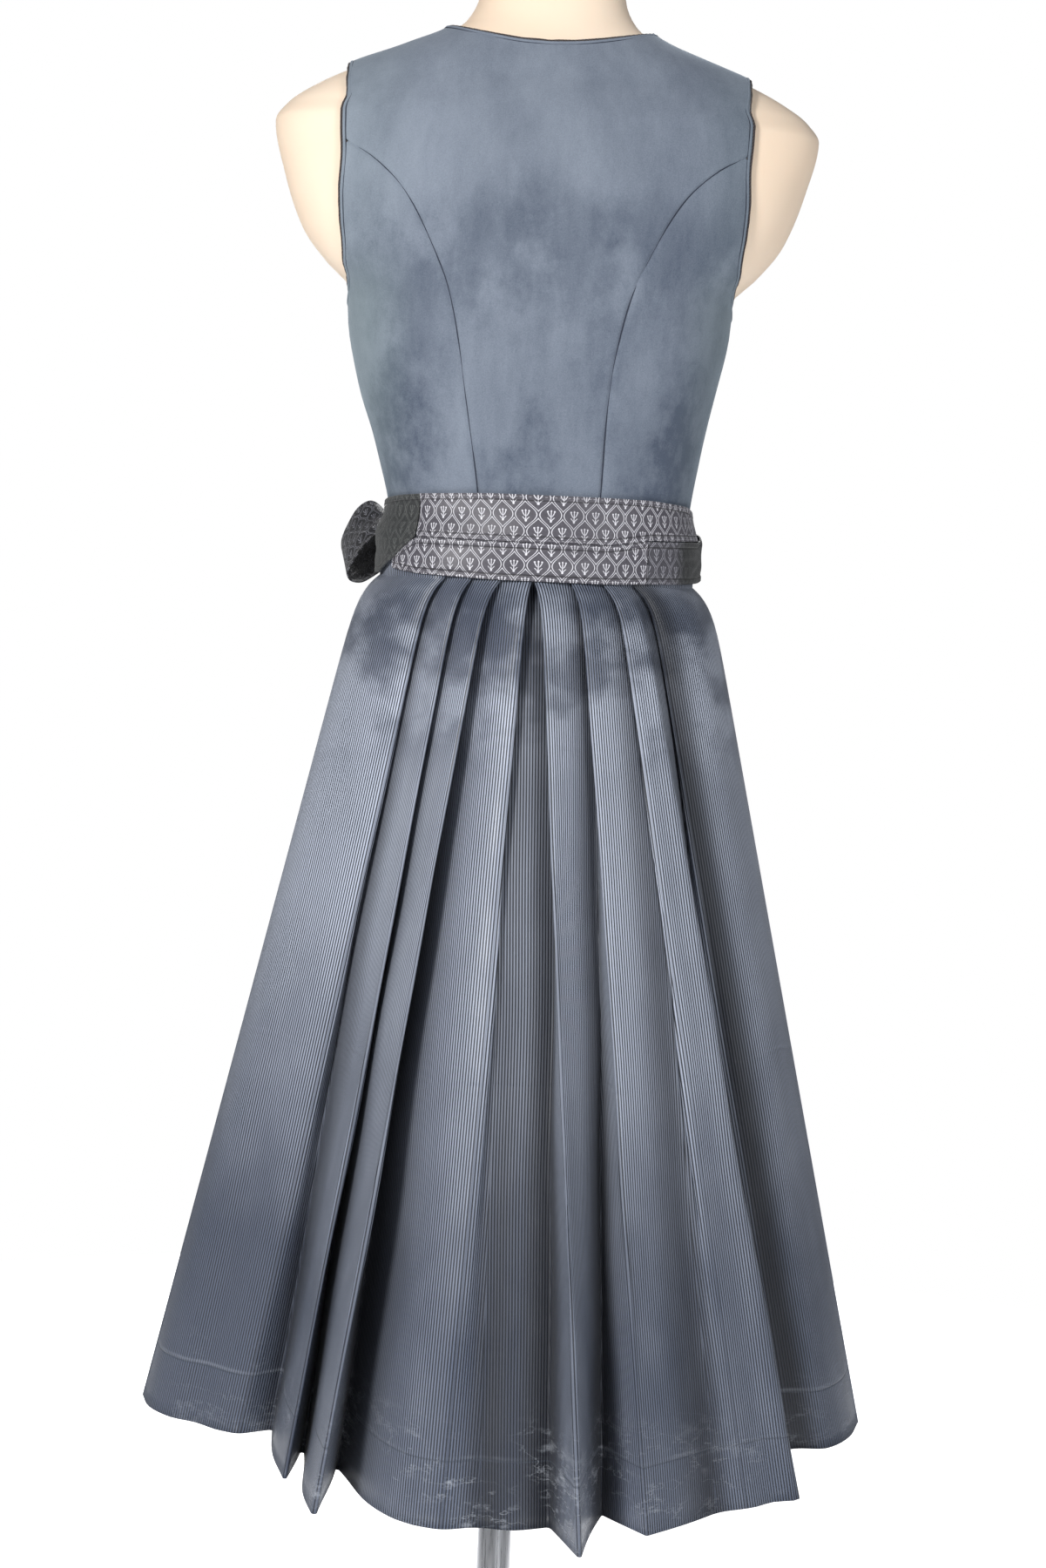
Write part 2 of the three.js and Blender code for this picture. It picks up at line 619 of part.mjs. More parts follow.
// A place part of the way along a chain of angles and heights
function alongChain(chain, share) {
  const at = clamp(share, 0, 1) * (chain.length - 1);
  const i = Math.min(Math.floor(at), chain.length - 2);
  return {
    angle: lerp(chain[i].angle, chain[i + 1].angle, at - i),
    z: lerp(chain[i].z, chain[i + 1].z, at - i),
  };
}

// Panel between a princess seam and the side seam, up to the armhole
function sidePanel(face, hand) {
  const name = faceName(face);
  const chain = armholeEdge(name);
  const meet = chain.slice(0, chain.findIndex((row) => row.z === PRINCESS_SEAM[name].at(-1).z) + 1);
  const heights = SEAM_ROWS[name];
  const last = heights.length - 1;
  const columns = 7;
  const grid = heights.map((height, r) => {
    const seamZ = r === last ? lerp(heights[last - 1], height, TOP_ROW_SHARE) : height;
    const seamX = columnAt(PRINCESS_SEAM[name], 'z', 'x', seamZ) + SEAM_GAP / 2;
    const inner = { angle: angleOf(seamX, seamZ), z: seamZ };
    const climb = (r === last ? r - 1 + TOP_ROW_SHARE : r) - SIDE_SEAM_ROWS;
    const outer = climb <= 0
      ? { angle: radians(89.92), z: lerp(BODICE_LOW_Z, ARMHOLE_BOTTOM_Z, r / SIDE_SEAM_ROWS) }
      : alongChain(meet, climb / (last - SIDE_SEAM_ROWS));
    return Array.from({ length: columns + 1 }, (_, c) => {
      const angle = lerp(inner.angle, outer.angle, c / columns);
      const z = lerp(inner.z, outer.z, c / columns);
      const nudge = c === columns && climb <= 0 ? face * SIDE_SEAM_NUDGE : 0;
      return { x: hand * distanceOf(angle, z), z, face, nudge };
    });
  });
  return bodicePanel(grid);
}

// Front panel from the closure's edge to the princess seam, and up to the shoulder
function frontPanel(hand) {
  const start = hand > 0 ? LAP_X + SEAM_GAP : -LAP_X;
  const neck = neckRows('front');
  neck[0] = { x: start, z: columnAt(neck, 'x', 'z', Math.abs(start)) };
  const heights = SEAM_ROWS.front;
  const last = heights.length - 1;
  const columns = 7;
  // Each row leaves the edge level and then rises, which keeps it below the next row of the
  // neckline; this wears off towards the shoulder
  const row = (inner, outer, v) => Array.from({ length: columns + 1 }, (_, c) => {
    const x = lerp(inner.x, outer.x, c / columns);
    if (v === 1) return { ...crestCell(x, -1), x: hand * x };
    const rise = (c / columns) ** lerp(FRONT_ROW_BEND, 1, v);
    return { x: hand * x, z: lerp(inner.z, outer.z, rise), face: -1 };
  });
  const grid = heights.map((z, r) => row(
    { x: start, z: lerp(BODICE_LOW_Z, neck[0].z, r / last) },
    { x: columnAt(PRINCESS_SEAM.front, 'z', 'x', z) - SEAM_GAP / 2, z },
    0,
  ));
  const armholeTop = ARMHOLE.front.at(-1).z;
  SHOULDER_ROWS.front.forEach((v, i) => {
    const z = lerp(heights[last], armholeTop, v);
    grid.push(row(neck[i + 1], { x: edgeX(ARMHOLE.front, z), z }, v));
  });
  return bodicePanel(grid);
}

// A piping cord beside an edge: the edge is a list of {x, z, face}, and turn says which side
// of it the cord lies on
function pipingGeometry(edge, turn, closed) {
  const lift = BODICE_CLEAR + BODICE_WALL / 2;
  const points = edge.map((cell) => {
    const centre = onBody(cell.x, cell.z, cell.face, lift);
    const normal = centre.clone().sub(onBody(cell.x, cell.z, cell.face, 0)).normalize();
    return { centre, normal };
  });
  const last = points.length - 1;
  const path = points.map((point, i) => {
    const before = points[closed ? (i + last) % points.length : Math.max(i - 1, 0)];
    const after = points[closed ? (i + 1) % points.length : Math.min(i + 1, last)];
    const along = after.centre.clone().sub(before.centre);
    const away = along.cross(point.normal).normalize().multiplyScalar(turn);
    const centre = point.centre.clone().addScaledVector(away, PIPING_RADIUS + PIPING_GAP);
    return { centre, normal: point.normal };
  });
  return cordGeometry(path, PIPING_RADIUS, 5, closed);
}

function armholePiping(hand) {
  const half = (name, face) => armholeEdge(name).flatMap((place, i, chain) => {
    const middle = i + 1 < chain.length ? alongChain(chain, (i + 0.5) / (chain.length - 1)) : null;
    return (middle ? [place, middle] : [place]).map(({ angle, z }) => (
      { x: hand * distanceOf(angle, z), z, face }));
  });
  const back = half('back', 1);
  const front = half('front', -1).reverse();
  front.pop();
  front.shift();
  return pipingGeometry([...front, ...back], -hand, true);
}

function neckPiping() {
  const halfway = (a, b) => ({ x: (a.x + b.x) / 2, z: (a.z + b.z) / 2, face: a.face });
  const side = (name, face, start) => {
    const rows = neckRows(name).map((row) => ({ ...row, face }));
    rows[0] = { x: start, z: columnAt(neckRows(name), 'x', 'z', Math.abs(start)), face };
    return rows.flatMap((row, i) => (i === 0 ? [row] : [halfway(rows[i - 1], row), row]));
  };
  const mirrored = (cells) => cells.map((cell) => ({ ...cell, x: -cell.x }));
  const back = side('back', 1, 0);
  const edge = [
    ...side('front', -1, LAP_X + SEAM_GAP + 0.6),
    ...back.slice(0, -1).reverse(),
    ...mirrored(back.slice(1)),
    ...mirrored(side('front', -1, -LAP_X + 0.6)).slice(0, -1).reverse(),
  ];
  return pipingGeometry(edge, -1, false);
}

function addButtons() {
  for (let i = 0; i < BUTTON.count; i += 1) {
    const z = BUTTON.low + i * BUTTON.pitch;
    const lift = BODICE_CLEAR + BODICE_WALL + SEAM_GAP + BUTTON.height / 2;
    const foot = onBody(0, z, -1, 0);
    const centre = onBody(0, z, -1, lift + BUTTON.stand);
    const button = addPiece(
      `button_${i + 1}`,
      new THREE.CylinderGeometry(BUTTON.radius, BUTTON.radius, BUTTON.height, 12),
      'button',
    );
    button.position.copy(centre);
    button.quaternion.setFromUnitVectors(
      new THREE.Vector3(0, 1, 0), centre.clone().sub(foot).normalize());
  }
}

// Skirt

// A point on the waist ring, from the angle round it and the distance out from it
function onWaistRing(angle, lift) {
  const { half, back, front, power } = WAIST_RING;
  const depth = Math.cos(angle) >= 0 ? back : front;
  const x = half * Math.sign(Math.sin(angle)) * Math.abs(Math.sin(angle)) ** (2 / power);
  const y = depth * Math.sign(Math.cos(angle)) * Math.abs(Math.cos(angle)) ** (2 / power);
  const normal = new THREE.Vector2(
    Math.sign(x) * (Math.abs(x) / half) ** (power - 1) / half,
    Math.sign(y) * (Math.abs(y) / depth) ** (power - 1) / depth,
  ).normalize();
  return new THREE.Vector2(x, y).addScaledVector(normal, lift);
}

function waistAngle(distance) {
  const half = WAIST_RING.half + PLEAT_STACK;
  return Math.sign(distance) * Math.asin((Math.abs(distance) / half) ** (WAIST_RING.power / 2));
}

// How far the cloth has gone from the waist ring (0) to the hem's outline (1)
function flareAt(z) {
  const t = clamp((FLARE_Z - z) / (FLARE_Z - HEM_Z), 0, 1);
  const spring = FLARE_SPRING * (1 - Math.exp(-t / FLARE_SPRING_LENGTH)) * (1 - t);
  return t + spring;
}

// The three points of a fold at the hem: where the cloth comes in, its tip, where it leaves
function hemFold(before, fold, after) {
  const corner = new THREE.Vector2(fold.x, fold.y);
  const legIn = new THREE.Vector2(before.x, before.y).sub(corner).normalize();
  const legOut = new THREE.Vector2(after.x, after.y).sub(corner).normalize();
  const halfAngle = Math.acos(clamp(legIn.dot(legOut), -1, 1)) / 2;
  const least = 0.72 * LAYER_STEP;
  if (fold.round * Math.sin(halfAngle) < least) {
    const back = legIn.clone().add(legOut).normalize().multiplyScalar(least);
    const apart = legIn.clone().sub(legOut).normalize().multiplyScalar(least);
    return [corner.clone().add(back).add(apart), corner, corner.clone().add(back).sub(apart)];
  }
  const enter = corner.clone().addScaledVector(legIn, fold.round);
  const leave = corner.clone().addScaledVector(legOut, fold.round);
  const tip = corner.clone().multiplyScalar(0.5).addScaledVector(enter, 0.25).addScaledVector(leave, 0.25);
  return [enter, tip, leave];
}

// The same three points at the waist, where every fold lies flat in its layer. Both halves of
// the back are folded towards the centre.
function waistFold(fold) {
  const angle = waistAngle(fold.waist);
  const outward = fold.side * (LAYER_STEP / 2 / WAIST_RING.half);
  const isRidge = fold.kind === 'ridge';
  const high = isRidge ? PLEAT_STACK : LAYER_STEP;
  const low = isRidge ? PLEAT_STACK - LAYER_STEP : 0;
  const tip = isRidge ? angle - outward : angle + outward;
  const layers = fold.side > 0 ? [high, low] : [low, high];
  return [
    { angle, lift: layers[0] },
    { angle: tip, lift: (high + low) / 2 },
    { angle, lift: layers[1] },
  ];
}

// Every point of the skirt's back, with its place at the waist and at the hem
function skirtBackPoints() {
  const rows = SKIRT_BACK;
  const middle = rows.findIndex((row) => row.kind === 'hollow' && row.waist < 0);
  const points = rows.flatMap((row, i) => {
    if (row.kind === 'wave') return [{ hem: new THREE.Vector2(row.x, row.y), at: row.waist }];
    if (row.kind === 'seam') {
      const angle = Math.sign(row.x) * (Math.PI / 2 - SEAM_GAP / 2 / WAIST_RING.half);
      return [{ hem: new THREE.Vector2(row.x, row.y), waist: { angle, lift: SEAM_LIFT, dip: 0 } }];
    }
    const side = i < middle ? 1 : -1;
    const dip = row.kind === 'hollow' ? 1 : 0;
    const waist = waistFold({ ...row, side });
    return hemFold(rows[i - 1], row, rows[i + 1]).map((hem, k) => ({ hem, waist: { ...waist[k], dip } }));
  });
  points.forEach((point, i) => {
    if (point.waist) return;
    let before = i;
    let after = i;
    while (!(points[before].waist && !points[before].spread)) before -= 1;
    while (!(points[after].waist && !points[after].spread)) after += 1;
    const from = points[before].waist.angle;
    const to = points[after].waist.angle;
    const share = point.at === undefined
      ? (i - before) / (after - before)
      : (waistAngle(point.at) - from) / (to - from);
    point.spread = true;
    point.waist = {
      angle: lerp(from, to, share),
      lift: lerp(points[before].waist.lift, points[after].waist.lift, share),
      dip: lerp(points[before].waist.dip, points[after].waist.dip, share),
    };
  });
  return points;
}

function skirtPlan(points, flare) {
  const sink = HOLLOW_DIP * (1 - Math.exp(-flare / HOLLOW_DIP_LENGTH)) * (1 - flare) ** 2;
  return points.map(({ hem, waist }) => (
    onWaistRing(waist.angle, waist.lift - waist.dip * sink).lerp(hem, flare)));
}

function skirtFrontCurve(flare) {
  const last = SKIRT_FRONT.length - 1;
  const controls = SKIRT_FRONT.map((row, i) => {
    const gap = SEAM_GAP / 2 / WAIST_RING.half;
    const angle = lerp(1.5 * Math.PI - gap, 0.5 * Math.PI + gap, i / last);
    const fromSeam = (180 * Math.min(i, last - i)) / last;
    const lift = lerp(SEAM_LIFT, FRONT_LIFT, smoothStep(fromSeam, 0, FRONT_LIFT_ANGLE));
    const plan = onWaistRing(angle, lift).lerp(new THREE.Vector2(row.x, row.y), flare);
    return new THREE.Vector3(plan.x, plan.y, 0);
  });
  return new THREE.CatmullRomCurve3(controls);
}

function planPoint(curve, share) {
  const point = curve.getPoint(share);
  return new THREE.Vector2(point.x, point.y);
}

// A plan line moved sideways by a distance that may change along it. The line runs with the
// outside of the skirt on its right.
function movedLine(line, distances) {
  const normals = line.slice(1).map((point, i) => {
    const along = point.clone().sub(line[i]).normalize();
    return new THREE.Vector2(along.y, -along.x);
  });
  return line.map((point, i) => {
    const before = normals[Math.max(i - 1, 0)];
    const after = normals[Math.min(i, normals.length - 1)];
    const mitre = before.clone().add(after).normalize();
    const stretch = Math.min(1 / Math.max(mitre.dot(after), 0.1), 1.35);
    return point.clone().addScaledVector(mitre, distances[i] * stretch);
  });
}

// A wall from plan lines at heights
function hangingWall(levels, wall, turnColumn = 0) {
  const surface = (side) => levels.map(({ z, line }) => (
    movedLine(line, line.map(() => (side * wall) / 2))
      .map((point) => new THREE.Vector3(point.x, point.y, z))));
  return wallGeometry(surface(1), surface(-1), turnColumn);
}

const skirtHeights = (shares) => [
  SKIRT_TOP_Z,
  ...shares.map((t) => lerp(FLARE_Z, HEM_Z, t)),
];

function skirtBack() {
  const points = skirtBackPoints();
  const levels = skirtHeights(BACK_LEVELS).map((z) => ({ z, line: skirtPlan(points, flareAt(z)) }));
  const middle = points.findIndex(({ waist }) => waist.angle < 0);
  return hangingWall(levels, SKIRT_WALL, middle);
}

function skirtFront() {
  const levels = skirtHeights(FRONT_LEVELS).map((z) => {
    const curve = skirtFrontCurve(flareAt(z));
    const line = Array.from(
      { length: SKIRT_FRONT_STEPS + 1 }, (_, i) => planPoint(curve, i / SKIRT_FRONT_STEPS));
    return { z, line };
  });
  return hangingWall(levels, SKIRT_WALL);
}

// Apron

function apronLift(share, flare) {
  const wave = 1 + Math.sin(2 * Math.PI * APRON.waves * share);
  return APRON.lift + APRON.fall * flare + (APRON.depth * wave * flare) / 2;
}

// A line over the skirt's front at one height, moved out by lift(share)
function overFront(z, shares, lift) {
  const flare = flareAt(z);
  const curve = skirtFrontCurve(flare);
  const line = shares.map((share) => planPoint(curve, share));
  return movedLine(line, shares.map((share) => lift(share, flare)));
}

function apronPanel() {
  const shares = Array.from(
    { length: APRON.steps + 1 }, (_, i) => lerp(APRON.from, APRON.to, i / APRON.steps));
  const heights = [...skirtHeights(FRONT_LEVELS.slice(0, APRON_HEM_LEVEL)), APRON_HEM_Z];
  const levels = heights.map((z) => ({ z, line: overFront(z, shares, apronLift) }));
  return hangingWall(levels, SASH_WALL);
}

// Sash

// A point of a tie whose upper edge is at the height top
function tiePoint(angle, z, lift, top, offset) {
  const turn = radians(angle);
  const plan = onWaistRing(turn, lift + offset);
  const { half, power } = bodySection(z);
  const x = half * Math.sign(Math.sin(turn)) * Math.abs(Math.sin(turn)) ** (2 / power);
  const clear = BODICE_CLEAR + BODICE_WALL + TIE_EDGE_CLEAR + SASH_WALL / 2;
  const body = onBody(x, z, Math.sign(Math.cos(turn)), clear + offset);
  const rise = Math.max(top - TIE_LEAN_Z, 1);
  const lean = smoothStep(rise, ...TIE_LEAN_RISE) * Math.max(z - TIE_LEAN_Z, 0) / rise;
  return new THREE.Vector3(lerp(plan.x, body.x, lean), lerp(plan.y, body.y, lean), z);
}

// A band round the waist from rows of {angle, low, high, lift}
function tieBand(rows) {
  const stations = rows.slice(1).flatMap((row, i) => {
    const from = rows[i];
    const steps = Math.max(1, Math.round(Math.abs(row.angle - from.angle) / TIE_DEGREES_PER_STEP));
    return Array.from({ length: steps }, (_, k) => {
      const share = (k + 1) / steps;
      const at = (column) => lerp(from[column], row[column], share);
      return { angle: at('angle'), low: at('low'), high: at('high'), lift: at('lift') };
    });
  });
  stations.unshift(rows[0]);
  const heights = ({ low, high }) => {
    const bends = Math.min(TIE_LEAN_Z - low, high - TIE_LEAN_Z) > TIE_LEAN_RISE[0];
    const bend = bends ? TIE_LEAN_Z : (low + high) / 2;
    return [low, bend, high];
  };
  const surface = (side) => [0, 1, 2].map((row) => stations.map((station) => tiePoint(
    station.angle, heights(station)[row], station.lift, station.high, (side * SASH_WALL) / 2)));
  return wallGeometry(surface(1), surface(-1));
}

// A smooth ribbon wall between two long edges
function ribbon(rows, steps) {
  const curve = (edge) => new THREE.CatmullRomCurve3(rows.map((row) => new THREE.Vector3(...row[edge])));
  const near = curve('near');
  const far = curve('far');
  const stations = Array.from({ length: steps + 1 }, (_, i) => {
    const share = i / steps;
    const a = near.getPoint(share);
    const b = far.getPoint(share);
    const along = near.getTangent(share).add(far.getTangent(share)).normalize();
    const normal = along.cross(b.clone().sub(a)).normalize();
    return { a, b, normal };
  });
  const surface = (side) => [0, 0.5, 1].map((across) => stations.map(({ a, b, normal }) => (
    a.clone().lerp(b, across).addScaledVector(normal, (side * SASH_WALL) / 2))));
  return wallGeometry(surface(1), surface(-1));
}

function bowKnot() {
  const angle = radians(KNOT.angle);
  const centre = onWaistRing(angle, KNOT.lift);
  const outward = centre.clone().sub(onWaistRing(angle, 0)).normalize();
  const rings = [-0.96, -0.8, -0.5, 0, 0.5, 0.8, 0.96].map((height) => {
    const girth = Math.sqrt(1 - height * height) ** 0.7;
    return Array.from({ length: 16 }, (_, k) => {
      const turn = (2 * Math.PI * k) / 16;
      const along = KNOT.along * girth * Math.cos(turn);
      const out = KNOT.out * girth * Math.sin(turn);
      return new THREE.Vector3(
        centre.x + outward.x * out + outward.y * along,
        centre.y + outward.y * out - outward.x * along,
        KNOT.z + KNOT.up * height,
      );
    });
  });
  return ringsGeometry(rings);
}

function bowTail({ top, bottom, end, narrow, wide }) {
  const start = KNOT.z - KNOT.up;
  const levels = Array.from({ length: TAIL_ROWS + 1 }, (_, r) => {
    const fall = r / TAIL_ROWS;
    const z = lerp(start, end, fall ** 1.2);
    const flare = flareAt(z);
    const curve = skirtFrontCurve(flare);
    const spread = smoothStep(fall, 0, 0.7);
    const width = lerp(narrow, wide, spread) / curve.getLength();
    const middle = lerp(top, bottom, fall);
    const shares = Array.from(
      { length: TAIL_COLUMNS + 1 }, (_, c) => middle + (c / TAIL_COLUMNS - 0.5) * width);
    const off = lerp(TAIL_LIFT.top, TAIL_LIFT.low, smoothStep(fall, 0, 0.3));
    const clear = APRON.lift + (APRON.fall + APRON.depth) * flare + off;
    return { z, line: overFront(z, shares, () => clear) };
  });
  return hangingWall(levels, SASH_WALL);
}

// Stand

function standPole() {
  const low = BASE_HEIGHT + SEAM_GAP;
  const high = FORM_BOTTOM_Z - SEAM_GAP;
  const profile = [
    [0, low], [FLANGE_RADIUS, low], [FLANGE_RADIUS, low + FLANGE_HEIGHT / 2],
    [POLE_RADIUS + 4, low + FLANGE_HEIGHT], [POLE_RADIUS, low + FLANGE_HEIGHT * 2],
    [POLE_RADIUS, high - FLANGE_HEIGHT * 2], [POLE_RADIUS + 4, high - FLANGE_HEIGHT],
    [FLANGE_RADIUS, high - FLANGE_HEIGHT / 2], [FLANGE_RADIUS, high], [0, high],
  ];
  return latheAboutZ(profile, 16);
}

function standBase() {
  const edge = 4;
  const profile = [
    [0, 0], [BASE_RADIUS - edge / 2, 0], [BASE_RADIUS, edge / 2],
    [BASE_RADIUS, BASE_HEIGHT - edge], [BASE_RADIUS - edge, BASE_HEIGHT], [0, BASE_HEIGHT],
  ];
  return latheAboutZ(profile, 32);
}

// A turned solid from its profile of radii and heights
function latheAboutZ(profile, steps) {
  const points = profile.map(([radius, height]) => new THREE.Vector2(radius, height));
  return new THREE.LatheGeometry(points, steps).rotateX(Math.PI / 2);
}

addPiece('form_torso', formTorso(), 'form');
addPiece('form_pole', standPole(), 'stand');
addPiece('form_base', standBase(), 'stand');

addPiece('bodice_back_centre', backCentrePanel(), 'velvet');
for (const [hand, name] of [[1, 'left'], [-1, 'right']]) {
  addPiece(`bodice_back_side_${name}`, sidePanel(1, hand), 'velvet');
  addPiece(`bodice_front_side_${name}`, sidePanel(-1, hand), 'velvet');
  addPiece(`bodice_front_${name}`, frontPanel(hand), 'velvet');
  addPiece(`piping_armhole_${name}`, armholePiping(hand), 'piping');
}
addPiece('piping_neck', neckPiping(), 'piping');
addButtons();

addPiece('skirt_back', skirtBack(), 'skirt');
addPiece('skirt_front', skirtFront(), 'skirt');
addPiece('apron_panel', apronPanel(), 'jacquard');
addPiece('apron_band', tieBand(APRON_BAND), 'jacquard');
for (const [name, rows] of Object.entries(TIES)) addPiece(name, tieBand(rows), 'jacquard');
addPiece('bow_knot', bowKnot(), 'jacquard');
addPiece('bow_loop_back', ribbon(BOW_LOOP_BACK, 22), 'jacquard');
addPiece('bow_loop_front', ribbon(BOW_LOOP_FRONT, 18), 'jacquard');
for (const [name, sizes] of Object.entries(BOW_TAILS)) addPiece(name, bowTail(sizes), 'jacquard');

// The part stands on the middle of its floor
const extent = new THREE.Box3().setFromObject(dirndl);
dirndl.position.set(-(extent.min.x + extent.max.x) / 2, -(extent.min.y + extent.max.y) / 2, -extent.min.z);
dirndl.updateMatrixWorld(true);

export default dirndl;
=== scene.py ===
import math

import bpy
import numpy as np
from mathutils import Matrix, Vector


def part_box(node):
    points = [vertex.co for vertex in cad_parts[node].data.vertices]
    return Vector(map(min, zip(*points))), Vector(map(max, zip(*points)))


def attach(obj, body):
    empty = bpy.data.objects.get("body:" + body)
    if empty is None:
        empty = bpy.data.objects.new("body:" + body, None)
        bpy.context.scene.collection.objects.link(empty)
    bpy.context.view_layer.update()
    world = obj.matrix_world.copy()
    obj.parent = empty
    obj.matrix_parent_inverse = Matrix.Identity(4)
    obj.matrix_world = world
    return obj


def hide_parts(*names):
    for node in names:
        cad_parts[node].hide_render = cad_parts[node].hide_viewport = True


# The looks of a sleeveless dirndl on a limbless dress form. The shapes are worked out in
# millimetres round the stand's axis: +Z up, the back of the dress towards +Y, the wearer's
# left at +X. "Hand" is +1 on the wearer's left, and "face" is +1 on the back of the body.

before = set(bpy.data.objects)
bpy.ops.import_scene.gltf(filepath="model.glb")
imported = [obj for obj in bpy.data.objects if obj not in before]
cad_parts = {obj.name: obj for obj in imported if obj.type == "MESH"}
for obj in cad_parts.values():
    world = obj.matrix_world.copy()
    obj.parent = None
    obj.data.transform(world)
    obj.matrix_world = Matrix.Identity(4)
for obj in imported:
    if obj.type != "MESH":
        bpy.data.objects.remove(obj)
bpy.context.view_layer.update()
POLE_LOW, POLE_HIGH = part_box("form_pole")
AXIS = np.array([(POLE_LOW.x + POLE_HIGH.x) / 2, (POLE_LOW.y + POLE_HIGH.y) / 2, 0.0])
MM = 0.001

# Heights
FORM_BOTTOM_Z = 872
SHOULDER_Z = 1393
NECK_BASE_Z = 1480
NECK_TOP_Z = 1546
FLARE_Z = 1050
HEM_Z = 400
APRON_HEM_Z = 452
ARMHOLE_BOTTOM_Z = 1256
NECK_POINT_X = 78

# Pitches of ribs, twill, stitches and cord, and heights over the hem, in centimetres
RIB_PITCH, TWILL_PITCH, STITCH_PITCH, CORD_PITCH = 0.215, 0.06, 0.28, 0.5
HEM_STITCH_UP, HEM_PALE_UP, CREASE_UP = 4.5, 4.7, 29.0
OGEE_WIDE, OGEE_TALL = 1.48, 2.5
EDGE_LINE_IN, EDGE_STITCH_IN = 0.42, 0.16

# Cloth
BODICE_CLEAR = 1.6
FORM_CLEAR = 1.2
BODICE_WALL = 2.0
SKIRT_WALL = 0.9
SASH_WALL = 1.1
SEAM_GAP = 0.3

# Stand
BASE_RADIUS = 165
BASE_HEIGHT = 14
POLE_RADIUS = 13
FLANGE_RADIUS = 46
FLANGE_HEIGHT = 8

# The form leans to the wearer's left: how far, between which heights
SWAY_SHIFT, SWAY_FROM, SWAY_TO = 6.5, 1085, 1215

# z, half width, depth behind, depth in front, power of the outline
FORM_SECTIONS = np.array([
    (872, 116, 74, 72, 2.1), (900, 126, 84, 80, 2.1), (960, 128, 87, 84, 2.1),
    (1010, 117, 84, 82, 2.1), (1050, 109, 79, 78, 2.1), (1080, 109.5, 79, 79, 2.1),
    (1111, 113.4, 82, 83, 2.2), (1151, 121.4, 86, 92, 2.4), (1205, 135.4, 91, 102, 2.6),
    (1240, 142, 95, 107, 2.7), (1262, 144, 97, 108, 2.7), (1273, 151, 97.5, 107, 2.6),
    (1286, 165, 98, 105, 2.5), (1312, 185, 97, 98, 2.35), (1352, 200, 93, 86, 2.25),
    (1393, 209, 83, 70, 2.2), (1407, 200, 78, 64, 2.1), (1421, 180, 71, 58, 2.1),
    (1436, 149, 64, 53, 2.1), (1450, 112, 57, 50, 2.1), (1463, 82, 51, 50, 2.1),
    (1475, 66, 47, 51, 2.05), (1490, 58, 44, 54, 2.05), (1515, 54, 42, 56, 2),
    (1540, 53, 42, 56, 2), (1546, 47, 36, 50, 2),
], float)
BUST_X, BUST_Z, BUST_RISE, BUST_SPREAD = 68, 1256, 15, 38

# z, distance from the centre line
PRINCESS_SEAM = {
    1: [(1080, 42), (1117, 45), (1204, 54.5), (1230, 59), (1260, 66), (1300, 83), (1335, 103.5),
        (1357, 126), (1372, 149.8)],
    -1: [(1080, 48), (1150, 57), (1210, 68), (1256, 73), (1296, 82), (1324, 99), (1342, 119),
         (1352, 137)],
}
ARMHOLE = {
    1: [(1265, 142), (1278, 143.5), (1300, 146.5), (1338, 149.8), (1372, 149.8), (1403, 148),
        (1435, 150)],
    -1: [(1265, 141), (1278, 139.5), (1300, 136.5), (1326, 135.5), (1352, 137), (1395, 142),
         (1435, 150)],
}
# Beside the armhole's bottom: degrees round from the front or back, and rise
ARMHOLE_TURN = (83, 2.2)
# distance from the centre line, z
NECKLINE = {
    1: [(0, 1449), (21, 1450.2), (40.5, 1453.2), (55.5, 1456.6), (66, 1459.7), (73.5, 1462.6)],
    -1: [(0, 1334), (18, 1336), (33, 1342.5), (47, 1356), (59, 1380), (68, 1412), (74, 1442),
         (77, 1458)],
}
LAP_X = 8
PIPING_RADIUS, PIPING_STAND = 1.0, 0.25
# In from the edge, out of the cloth, radius
TRIM_RIM = (1.1, 0.35, 1.25)
TRIM_LINE = (2.7, 0.92, 0.26)
SEAM_THREAD_RADIUS, SEAM_THREAD_DEPTH = 0.45, 0.45
SHOULDER_TURN_RADIUS, SHOULDER_THREAD_SINK = 1.2, 0.3
SHOULDER_TURNS = {"front": 0, "middle": 1.6, "back": 3.2}
BUTTON_COUNT, BUTTON_RADIUS, BUTTON_HEIGHT = 7, 7.0, 3.4
BUTTON_LOW, BUTTON_PITCH, BUTTON_STAND = 1122, 33, 0.7

SEAM_ROWS = {
    1: [1080.3, 1117, 1160, 1204, 1232, 1260, 1284, 1306, 1327, 1344, 1359, 1372],
    -1: [1080.3, 1117, 1155, 1190, 1222, 1252, 1278, 1300, 1318, 1332, 1343, 1352],
}
SHOULDER_ROWS = {
    1: [0.22, 0.44, 0.64, 0.8, 0.91, 0.97, 1],
    -1: [0.12, 0.26, 0.42, 0.6, 0.76, 0.9, 0.97, 1],
}
SIDE_SEAM_ROWS, SIDE_SEAM_DEGREES = 5, 89.92
FRONT_ROW_BEND = 1.6

# Waist ring: half width, depths, power
RING_HALF, RING_BACK, RING_FRONT, RING_POWER = 114.2, 84, 84, 2.1
SKIRT_TOP_Z = 1083
PLEAT_STACK = 7.4
LAYER_STEP = 2
SEAM_LIFT = 6
FRONT_LIFT = 0.5
FRONT_LIFT_ANGLE = 40
FLARE_SPRING = 0.085
FLARE_SPRING_LENGTH = 0.02
HOLLOW_DIP = 8
HOLLOW_DIP_LENGTH = 0.03

